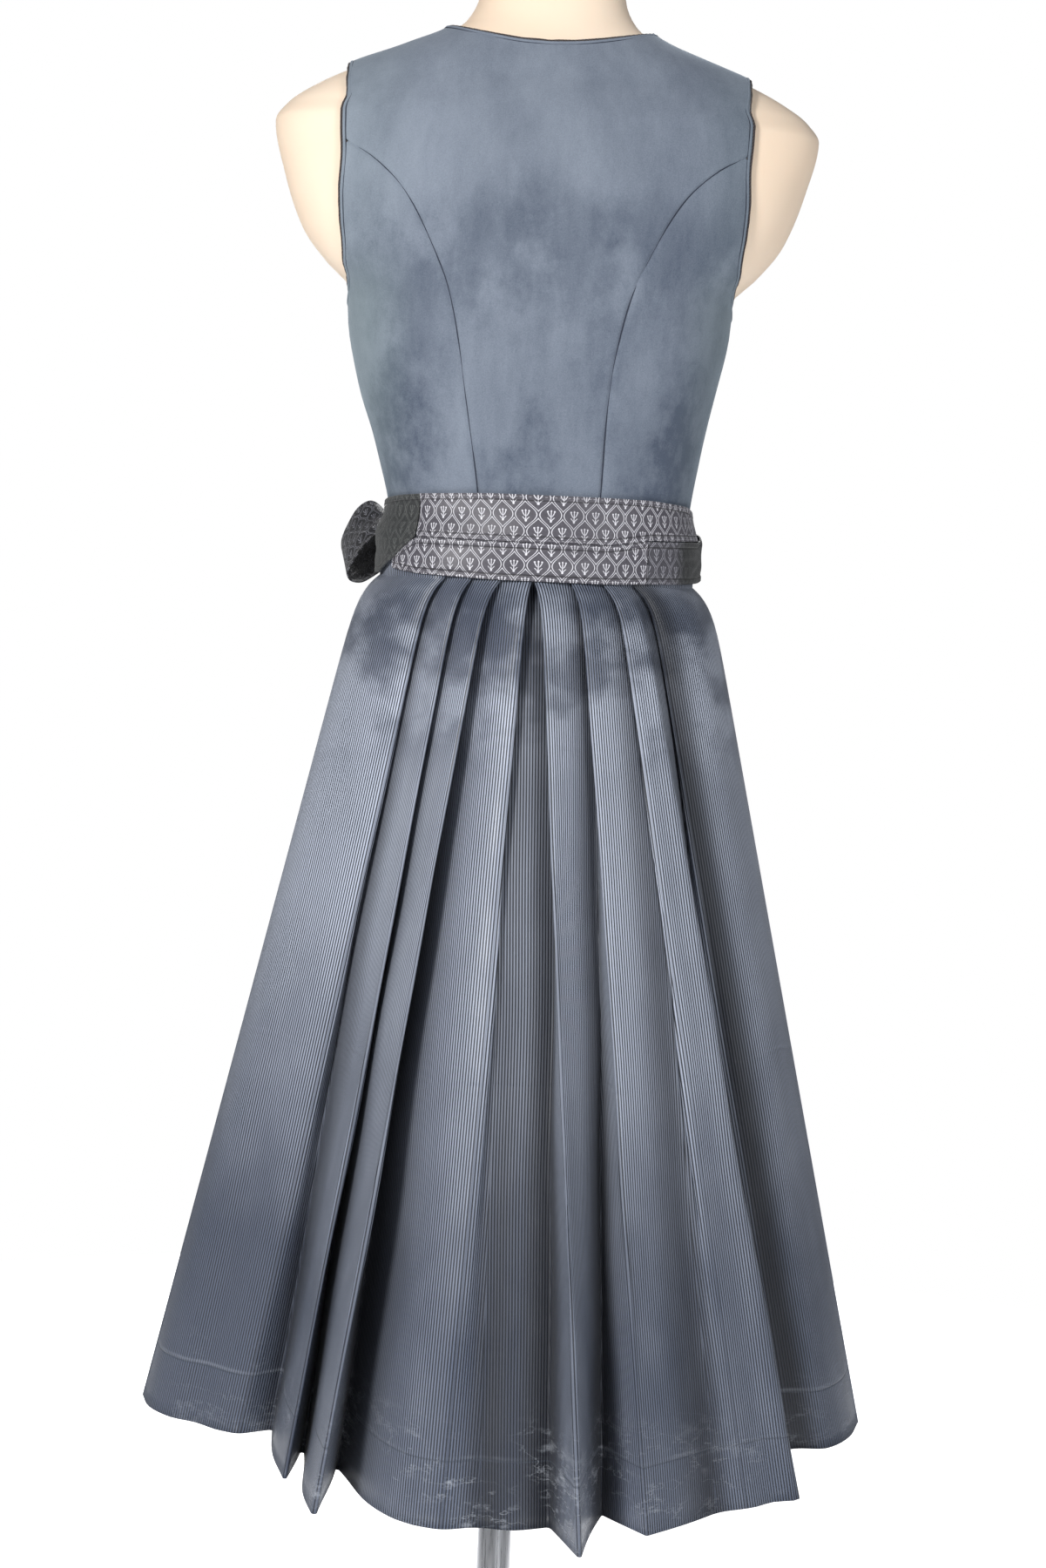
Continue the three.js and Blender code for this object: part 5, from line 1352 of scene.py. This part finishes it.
def leg_uv(grid, marks):
    """u runs from each ridge, in centimetres, and v is the way up from the hem."""
    rows, cols = grid.shape[:2]
    run, fall = run_along(grid[..., :2], 1), run_along(grid)
    up = (fall[-1:] - fall) / 10
    uv = np.zeros((rows, cols - 1, 2, 2))
    anchors = [m for m, kind in marks if kind in ("ridge", "seam")]
    edges = [m for m, kind in marks]
    for c in range(cols - 1):
        low = max(e for e in edges if e <= c)
        high = min(e for e in edges if e > c)
        anchor = low if low in anchors else high
        if low in anchors and high in anchors and dict(marks).get(high) == "ridge":
            anchor = high
        for side in (0, 1):
            uv[:, c, side, 0] = np.abs(run[:, c + side] - run[:, anchor]) / 10
            uv[:, c, side, 1] = up[:, c + side]
    # How far each place lies from a ridge towards a hollow, and how wide its fold is: the skirt's
    # material paints shade from these.
    hollows = run[:, [m for m, kind in marks if kind == "hollow"]]
    ridges = run[:, [m for m, kind in marks if kind != "hollow"]]
    to_hollow = np.abs(run[:, :, None] - hollows[:, None]).min(2)
    to_ridge = np.abs(run[:, :, None] - ridges[:, None]).min(2)
    share = to_ridge / np.maximum(to_ridge + to_hollow, 1e-6)
    reach = np.minimum(to_hollow + to_ridge, WIDE_FOLD) / WIDE_FOLD
    return uv, np.stack([share, reach], -1)


SKIRT_SHARES = np.concatenate([
    [0, 0.002, 0.004, 0.007, 0.01, 0.015, 0.022, 0.03, 0.042, 0.055, 0.072, 0.09, 0.11],
    np.linspace(0.13, 1, 62)])
SKIRT_LEVELS = np.concatenate([[SKIRT_TOP_Z, 1072, 1061], lerp(FLARE_Z, HEM_Z, SKIRT_SHARES)])


def cloth_drift(t, index, strength):
    """Small uneven waves down a hanging cloth, none at the waist."""
    wave = np.sin(t * 9 + index * 0.9) + 0.6 * np.sin(t * 21 + index * 0.37 + 1.0)
    return strength * wave * smooth_step(t, 0.12, 0.5)


def make_skirt_back():
    points, tips = skirt_back_points()
    fine, marks = hem_curve(points, tips, 7.0)
    lines = []
    index = np.arange(len(fine)) * 0.35
    ends = smooth_step(np.minimum(np.arange(len(fine)), np.arange(len(fine))[::-1]), 0, 12)
    for z in SKIRT_LEVELS:
        g = float(flare_at(z))
        sink = HOLLOW_DIP * (1 - math.exp(-g / HOLLOW_DIP_LENGTH)) * (1 - g) ** 2
        top = on_ring(fine[:, 2], fine[:, 3] - fine[:, 4] * sink)
        line = lerp(top, fine[:, :2], g)
        t = (FLARE_Z - z) / (FLARE_Z - HEM_Z)
        lines.append(moved_line(line, cloth_drift(max(t, 0), index, 1.0) * ends))
    outer, inner = hanging(SKIRT_LEVELS, lines, SKIRT_WALL)
    uv, fold = leg_uv((outer + inner) / 2, marks)
    # Painted shade: the last pleat before the right seam is darkened from its hollow to a little past
    # its ridge, through the share and reach its material reads.
    hollow, ridge = [m for m, kind in marks if kind != "seam"][-2:]
    hem_run = run_along(outer[-1, :, :2])
    from_ridge = np.maximum(hem_run - hem_run[ridge], 0)
    shade = 1 - 0.8 * smooth_step(from_ridge[hollow:], 2, 34)
    fold[:, hollow:, 0] = np.maximum(fold[:, hollow:, 0], shade)
    fold[:, ridge:, 1] = 1
    return cloth_piece("skirt_back", "skirt", outer, inner, RIBBED, uv, fold)


FRONT_CONTROLS = np.array(SKIRT_FRONT, float)


def centripetal(controls, share):
    """A centripetal curve through control points, at shares of it."""
    p = np.asarray(controls, float)
    last = len(p) - 1
    at = np.clip(np.asarray(share, float) * last, 0, last)
    i = np.minimum(at.astype(int), last - 1)
    w = (at - i)[:, None]
    p1, p2 = p[i], p[i + 1]
    p0 = np.where((i > 0)[:, None], p[np.maximum(i - 1, 0)], 2 * p[0] - p[1])
    p3 = np.where((i < last - 1)[:, None], p[np.minimum(i + 2, last)], 2 * p[last] - p[last - 1])
    d0 = np.sqrt(np.linalg.norm(p1 - p0, axis=1))[:, None]
    d1 = np.sqrt(np.linalg.norm(p2 - p1, axis=1))[:, None]
    d2 = np.sqrt(np.linalg.norm(p3 - p2, axis=1))[:, None]
    t1 = ((p1 - p0) / d0 - (p2 - p0) / (d0 + d1) + (p2 - p1) / d1) * d1
    t2 = ((p2 - p1) / d1 - (p3 - p1) / (d1 + d2) + (p3 - p2) / d2) * d1
    return (p1 + t1 * w + (-3 * p1 + 3 * p2 - 2 * t1 - t2) * w ** 2
            + (2 * p1 - 2 * p2 + t1 + t2) * w ** 3)


def front_controls(flare):
    last = len(FRONT_CONTROLS) - 1
    gap = SEAM_GAP / 2 / RING_HALF
    index = np.arange(last + 1)
    angle = lerp(1.5 * math.pi - gap, 0.5 * math.pi + gap, index / last)
    from_seam = 180 * np.minimum(index, last - index) / last
    lift = lerp(SEAM_LIFT, FRONT_LIFT, smooth_step(from_seam, 0, FRONT_LIFT_ANGLE))
    return lerp(on_ring(angle, lift), FRONT_CONTROLS, flare)


def front_line(z, shares):
    return centripetal(front_controls(float(flare_at(z))), shares)


def make_skirt_front():
    count = 240
    shares = np.linspace(0, 1, count + 1)
    index = np.arange(count + 1) * 0.3
    lines = []
    for z in SKIRT_LEVELS:
        t = max((FLARE_Z - z) / (FLARE_Z - HEM_Z), 0)
        ends = smooth_step(np.minimum(shares, 1 - shares), 0, 0.06)
        lines.append(moved_line(front_line(z, shares), cloth_drift(t, index, 0.7) * ends))
    outer, inner = hanging(SKIRT_LEVELS, lines, SKIRT_WALL)
    step = count // (len(SKIRT_FRONT) - 1)
    marks = [(0, "seam")]
    for k in range(1, len(SKIRT_FRONT) - 1):
        marks.append((k * step, "ridge" if k % 2 else "hollow"))
    marks.append((count, "seam"))
    uv, fold = leg_uv((outer + inner) / 2, marks)
    # The front's hollows get weaker painted shade.
    fold[..., 0] *= 0.6
    return cloth_piece("skirt_front", "skirt", outer, inner, RIBBED, uv, fold)


# Apron

def make_apron():
    count = 336
    s = np.linspace(0, 1, count + 1)
    shares = lerp(APRON_FROM, APRON_TO, s)
    fall = np.concatenate([
        [0, 0.004, 0.01, 0.02, 0.035, 0.055, 0.08, 0.12], np.linspace(0.16, 1, 44)])
    heights = np.concatenate([[SKIRT_TOP_Z, 1066], lerp(FLARE_Z, APRON_HEM_Z, fall)])
    lines = []
    for z in heights:
        flare = float(flare_at(z))
        wave = 1 + np.sin(2 * math.pi * APRON_WAVES * shares)
        uneven = 1 + 0.18 * np.sin(shares * 37 + 0.6) * smooth_step(flare, 0.1, 0.4)
        lift = APRON_LIFT + APRON_FALL * flare + APRON_DEPTH * wave * uneven * flare / 2
        gathers = 0.5 * np.sin(shares * 2 * math.pi * 44) * smooth_step(flare, 0.02, 0.08)
        gathers = gathers * (1 - smooth_step(flare, 0.12, 0.4))
        lines.append(moved_line(front_line(z, shares), lift + gathers + 0.25))
    outer, inner = hanging(heights, lines, SASH_WALL)
    grid = (outer + inner) / 2
    run, fallen = run_along(grid, 1), run_along(grid)
    u = np.broadcast_to(run[len(run) // 2], run.shape)
    v = np.broadcast_to(fallen.mean(1, keepdims=True), run.shape)
    near = np.minimum(np.minimum(run, run[:, -1:] - run), fallen[-1:] - fallen) / 10
    rim = np.stack([near, np.full_like(near, 9.0)], -1)
    return cloth_piece("apron_panel", "jacquard", outer, inner, JACQUARD, np.stack([u, v], -1) / 10, rim)


# Sash

def tie_rows(rows, step):
    rows = np.array(rows, float)
    out = []
    for a, b in zip(rows[:-1], rows[1:]):
        count = max(2, int(round(abs(b[0] - a[0]) / step)))
        for k in range(count):
            s = k / count
            out.append(lerp(a, b, s))
    out.append(rows[-1])
    out = np.array(out)
    # Soften the corners between rows, keeping both ends
    for _ in range(3):
        out[1:-1, 1:] = (out[:-2, 1:] + 2 * out[1:-1, 1:] + out[2:, 1:]) / 4
    return out


def tie_point(angle, z, lift, top, offset):
    turn = np.radians(angle)
    plan = on_ring(turn, lift + offset)
    half, _, _, power = section(z)
    sin = np.sin(turn)
    x = half * np.sign(sin) * np.abs(sin) ** (2 / power)
    clear = BODICE_CLEAR + BODICE_WALL + TIE_EDGE_CLEAR + SASH_WALL / 2
    body, _ = on_body(x, z, np.where(np.cos(turn) >= 0, 1, -1), clear + offset)
    rise = np.maximum(top - TIE_LEAN_Z, 1)
    lean = smooth_step(rise, *TIE_LEAN_RISE) * np.maximum(z - TIE_LEAN_Z, 0) / rise
    x, y = (lerp(plan[..., k], body[..., k], lean) for k in (0, 1))
    return np.stack([x, y, z], -1)


RIM_WIDTH, RIM_LIFT, GROOVE = 4.2, 0.32, 0.5
TIE_FOLDS = {
    # angle and height at both ends, width, depth; an angle counts as 1.9 mm
    "tie_upper_back": [(4, 1087, -12, 1084, 2.2, 1.0), (40, 1098, 20, 1101, 3.5, 0.5),
                       (-60, 1090, -84, 1098, 2.6, 1.1), (-64, 1104, -84, 1100, 2.6, 0.9),
                       (-30, 1108, -48, 1100, 3.5, 0.5)],
    "tie_lower_back": [(-6, 1066, -26, 1082, 2.4, 1.3), (34, 1060, 52, 1070, 3.0, 0.8),
                       (12, 1072, -4, 1076, 3.0, 0.5), (-28, 1062, -40, 1070, 3.0, 0.5)],
    "tie_side_left": [(47, 1093, 66, 1091, 1.8, 1.9), (66, 1091, 80, 1083, 1.8, 1.7),
                      (56, 1078, 84, 1094, 2.4, 1.2), (70, 1066, 110, 1074, 3.0, 1.4),
                      (80, 1098, 118, 1088, 3.0, 1.4), (100, 1062, 128, 1074, 3.0, 1.2)],
    "tie_side_right": [(-62, 1079, -90, 1075, 1.8, 1.9), (-64, 1070, -90, 1073, 1.7, 1.9),
                       (-72, 1060, -90, 1070, 1.8, 1.8), (-88, 1058, -94, 1070, 1.8, 1.6),
                       (-92, 1074, -118, 1066, 3.0, 1.8), (-92, 1082, -118, 1088, 3.0, 1.8),
                       (-48, 1072, -64, 1078, 2.6, 0.9), (-80, 1084, -91, 1078, 1.8, 1.4)],
    "tie_front": [(236, 1080, 215, 1070, 3.0, 1.0), (150, 1070, 134, 1078, 2.6, 1.4),
                  (152, 1088, 134, 1080, 2.6, 1.3), (200, 1076, 175, 1082, 4.0, 0.7)],
    "apron_band": [],
}
DEGREE_MM = 1.9
TIE_EDGE_ROWS = [0.03, 0.07, 0.1, 0.13, 0.16, 0.84, 0.87, 0.9, 0.93, 0.97]


def make_tie(name, rows, material, step=1.0):
    stations = tie_rows(rows, step)
    up = np.unique(np.concatenate([np.linspace(0, 1, 21), TIE_EDGE_ROWS]))
    angle = np.broadcast_to(stations[:, 0], (len(up), len(stations)))
    low, high, lift = (np.broadcast_to(stations[:, k], angle.shape) for k in (1, 2, 3))
    z = lerp(low, high, up[:, None])
    from_low, from_high = z - low, high - z
    near = np.minimum(from_low, from_high)
    rim = RIM_LIFT * (1 - smooth_step(near, RIM_WIDTH - 0.6, RIM_WIDTH))
    rim = rim - GROOVE * np.exp(-((near - RIM_WIDTH) / 0.5) ** 2)
    folds = soft_folds(angle * DEGREE_MM, z, [
        (a * DEGREE_MM, b, c * DEGREE_MM, d, e, f) for a, b, c, d, e, f in TIE_FOLDS[name]])
    crown = 0.8 * np.sin(math.pi * up)[:, None]
    column = np.arange(len(stations))
    ends = smooth_step(np.minimum(column, column[::-1]), 0, 4)
    shape = (rim + crown - folds * 0.85) * (0.3 + 0.7 * ends)
    outer = tie_point(angle, z, lift, high, SASH_WALL / 2 + np.maximum(shape, -0.9))
    inner = tie_point(angle, z, lift, high, -SASH_WALL / 2 + np.clip(shape, 0, 0.6) * 0.5)
    run = np.concatenate([[0], np.cumsum(np.abs(np.diff(stations[:, 0])) * DEGREE_MM)]) / 10
    u = np.broadcast_to(run, angle.shape)
    cloth = np.stack([u, (z - 1050) / 10], -1)
    edge = np.stack([from_low, from_high], -1) / 10
    return cloth_piece(name, "jacquard", outer, inner, material, cloth, edge)


def make_ribbon(name, rows, material, steps, folds):
    rows = np.array(rows, float)
    at = np.linspace(0, 1, steps + 1)
    near, far = centripetal(rows[:, :3], at), centripetal(rows[:, 3:], at)
    tangent = np.gradient(near, axis=0) + np.gradient(far, axis=0)
    tangent /= np.linalg.norm(tangent, axis=1, keepdims=True)
    normal = np.cross(tangent, far - near)
    normal /= np.linalg.norm(normal, axis=1, keepdims=True)
    across = np.linspace(0, 1, 17)
    grid = near[None] + (far - near)[None] * across[:, None, None]
    s = np.broadcast_to(at, (len(across), len(at)))
    w = np.broadcast_to(across[:, None], s.shape)
    crease = np.zeros(s.shape)
    for s0, w0, s1, w1, width, depth in folds:
        ds, dw = s1 - s0, w1 - w0
        k = np.clip(((s - s0) * ds + (w - w0) * dw) / (ds * ds + dw * dw), 0, 1)
        away = ((s - s0 - k * ds) * 3) ** 2 + (w - w0 - k * dw) ** 2
        crease += depth * np.exp(-away / (2 * width * width))
    gather = np.exp(-(np.minimum(s, 1 - s) / 0.10) ** 2)
    pleats = 0.7 * np.sin(w * 2 * math.pi * 3) * gather
    shape = crease + pleats
    outer = grid + normal[None] * (SASH_WALL / 2 + shape)[..., None]
    inner = grid + normal[None] * (-SASH_WALL / 2 + shape)[..., None]
    run = run_along((near + far) / 2)
    width = np.linalg.norm(far - near, axis=1).max()
    cloth = np.stack([np.broadcast_to(run, s.shape), w * width], -1) / 10
    edge = np.stack([w * width, (1 - w) * width], -1) / 10
    return cloth_piece(name, "jacquard", outer, inner, material, cloth, edge)


def make_knot():
    angle = math.radians(KNOT_ANGLE)
    centre = on_ring(np.array(angle), KNOT_LIFT)
    base = on_ring(np.array(angle), 0.0)
    out = (centre - base) / np.linalg.norm(centre - base)
    heights = np.linspace(-0.96, 0.96, 33)
    steps = 64
    turn = circle(steps)
    loops = []
    for h in heights:
        girth = math.sqrt(1 - h * h) ** 0.7
        crease = 0.55 * np.sin(turn * 3 + h * 2.6) + 0.45 * np.sin(turn * 7 + h * 4.2)
        pinch = -0.5 + 0.5 * np.clip(crease, -1, 1)
        along = (KNOT_ALONG * girth + pinch * 0.9) * np.cos(turn)
        away = (KNOT_OUT * girth + pinch * 0.9) * np.sin(turn)
        loops.append(np.stack([centre[0] + out[0] * away + out[1] * along,
                               centre[1] + out[1] * away - out[0] * along,
                               np.full(steps, KNOT_Z + KNOT_UP * h)], 1))
    obj = rings("bow_knot_looks", loops, JACQUARD_SHADED)
    return finished(obj, "jacquard", "bow_knot")


def make_tail(name, top, bottom, end, narrow, wide):
    start = KNOT_Z - KNOT_UP
    fall = np.linspace(0, 1, 61)
    levels = lerp(start, end, fall ** 1.2)
    c = np.linspace(0, 1, 17)
    lines, zs = [], []
    for f, z in zip(fall, levels):
        flare = float(flare_at(z))
        probe = front_line(z, np.linspace(0, 1, 200))
        length = np.linalg.norm(np.diff(probe, axis=0), axis=1).sum()
        width = lerp(narrow, wide, float(smooth_step(f, 0, 0.7))) / length
        shares = lerp(top, bottom, f) + (c - 0.5) * width
        off = lerp(TAIL_LIFT_TOP, TAIL_LIFT_LOW, float(smooth_step(f, 0, 0.3)))
        clear = APRON_LIFT + (APRON_FALL + APRON_DEPTH) * flare + off
        ripple = 1.2 * np.sin(c * 2 * math.pi * 1.5 + f * 5) * (1 - f * 0.6) + 1.2
        lines.append(moved_line(front_line(z, shares), clear + ripple))
        zs.append(np.full(len(c), z) - (f > TAIL_CUT_FROM) * TAIL_CUT * (c - 0.5))
    outer, inner = hanging(zs, lines, SASH_WALL)
    grid = (outer + inner) / 2
    run, drop = run_along(grid, 1), run_along(grid[:, len(c) // 2])
    spread = run - run[:, -1:] / 2
    cloth = np.stack([np.broadcast_to(drop[:, None], run.shape), spread], -1) / 10
    edge = np.stack([run, run[:, -1:] - run], -1) / 10
    return cloth_piece(name, "jacquard", outer, inner, JACQUARD, cloth, edge)


make_form()
make_stand()

back_centre()
for face in (1, -1):
    for hand in (1, -1):
        side_panel(face, hand)
for hand in (1, -1):
    front_panel(hand)
    armhole_trim(hand)
    seam_threads(hand)
neck_trim()
make_buttons()

make_skirt_back()
make_skirt_front()
make_apron()
make_tie("apron_band", APRON_BAND, JACQUARD)
# The tie on the wearer's right wears the painted shade copy of the jacquard; the one on the left wears a
# darker copy.
TIE_LOOKS = {"tie_side_left": JACQUARD_DARK, "tie_side_right": JACQUARD_SHADED}
for tie_name, tie_table in TIES.items():
    make_tie(tie_name, tie_table, TIE_LOOKS.get(tie_name, JACQUARD))
make_knot()
make_ribbon("bow_loop_back", BOW_LOOP_BACK, JACQUARD_BOW_SHADED, 90, LOOP_FOLDS_BACK)
make_ribbon("bow_loop_front", BOW_LOOP_FRONT, JACQUARD, 80, LOOP_FOLDS_FRONT)
for tail_name, sizes in BOW_TAILS.items():
    make_tail(tail_name, *sizes)

# How cloth is held, what it rests on, and which pieces
HELD = [
    ("stretched", "form_torso", ("back_centre", "back_side_left", "back_side_right",
                                 "front_side_left", "front_side_right", "front_left", "front_right")),
    ("gathered", "form_torso", ("skirt_back", "skirt_front")),
    ("gathered", "skirt_front", ("apron_panel",)),
    ("stretched", "apron_panel", ("apron_band", "tie_front")),
    ("stretched", "skirt_back", ("tie_upper_back", "tie_lower_back", "tie_side_left",
                                 "tie_side_right")),
    ("folded", "bow_knot", ("bow_loop_back", "bow_loop_front")),
    ("hung", "bow_knot", tuple(BOW_TAILS)),
]
for held, rest, names in HELD:
    for name in names:
        declare(name + "_looks")


def floor_piece(half):
    mesh = bpy.data.meshes.new("floor")
    turns = [2 * math.pi * k / 96 for k in range(96)]
    mesh.from_pydata([(half * math.cos(a), half * math.sin(a), 0) for a in turns], [], [range(96)])
    mesh.materials.append(FLOOR)
    return linked("floor", mesh)


FLOOR_RADIUS = 1.9
floor_piece(FLOOR_RADIUS)

# Camera: two metres behind the dress, at the waist's height and looking a little down
CAMERA_OFF, CAMERA_AWAY, CAMERA_Z = 6.8, 2000, 1077
PITCH, ROLL, SHIFT = -3.0, 2.5, -0.0656
LONG_SIDE, REACH = 36.0, 0.303
camera_data = bpy.data.cameras.new("camera")
camera_data.lens = LONG_SIDE / 2 / REACH
camera_data.shift_y = SHIFT
camera_data.sensor_width = LONG_SIDE
camera = linked("camera", camera_data)
spot = np.array([CAMERA_OFF, CAMERA_AWAY, CAMERA_Z]) * MM + AXIS
look_down = math.radians(90 + PITCH)
turn = (Matrix.Rotation(math.pi, 4, "Z") @ Matrix.Rotation(look_down, 4, "X")
        @ Matrix.Rotation(math.radians(ROLL), 4, "Z"))
camera.matrix_world = Matrix.Translation(Vector(spot)) @ turn
bpy.context.scene.camera = camera


def area_light(name, place, target, size, watts, tone):
    data = bpy.data.lights.new(name, "AREA")
    data.shape = "RECTANGLE"
    data.size, data.size_y = size
    data.energy = watts
    data.color = tone
    obj = linked(name, data)
    obj.location = place
    aim = Vector(target) - Vector(place)
    obj.rotation_euler = aim.to_track_quat("-Z", "Y").to_euler()


# name, place, target, size, watts, tone
LIGHTS = [
    ("key", (1.5, 2.5, 2.0), (0, 0, 0.95), (0.6, 0.6), 78, (1.0, 0.99, 0.97)),
    ("fill", (-1.5, 2.6, 1.7), (0, 0, 0.9), (1.0, 1.4), 36, (0.98, 0.99, 1.0)),
    ("front", (0.2, -2.9, 1.9), (0, 0, 0.9), (1.4, 1.4), 52, (1.0, 1.0, 1.0)),
]
for light in LIGHTS:
    area_light(*light)

world = bpy.data.worlds.new("studio")
bpy.context.scene.world = world
world.use_nodes = True
nodes, links = world.node_tree.nodes, world.node_tree.links
background = nodes["Background"]
background.inputs["Color"].default_value = (0.97, 0.98, 1.0, 1.0)
background.inputs["Strength"].default_value = 0.2
white = nodes.new("ShaderNodeBackground")
white.inputs["Color"].default_value = (1.0, 1.0, 1.0, 1.0)
white.inputs["Strength"].default_value = 1.0
ray = nodes.new("ShaderNodeLightPath")
choose = nodes.new("ShaderNodeMixShader")
links.new(ray.outputs["Is Camera Ray"], choose.inputs[0])
links.new(background.outputs[0], choose.inputs[1])
links.new(white.outputs[0], choose.inputs[2])
links.new(choose.outputs[0], nodes["World Output"].inputs["Surface"])
bpy.context.scene.view_settings.view_transform = "Standard"
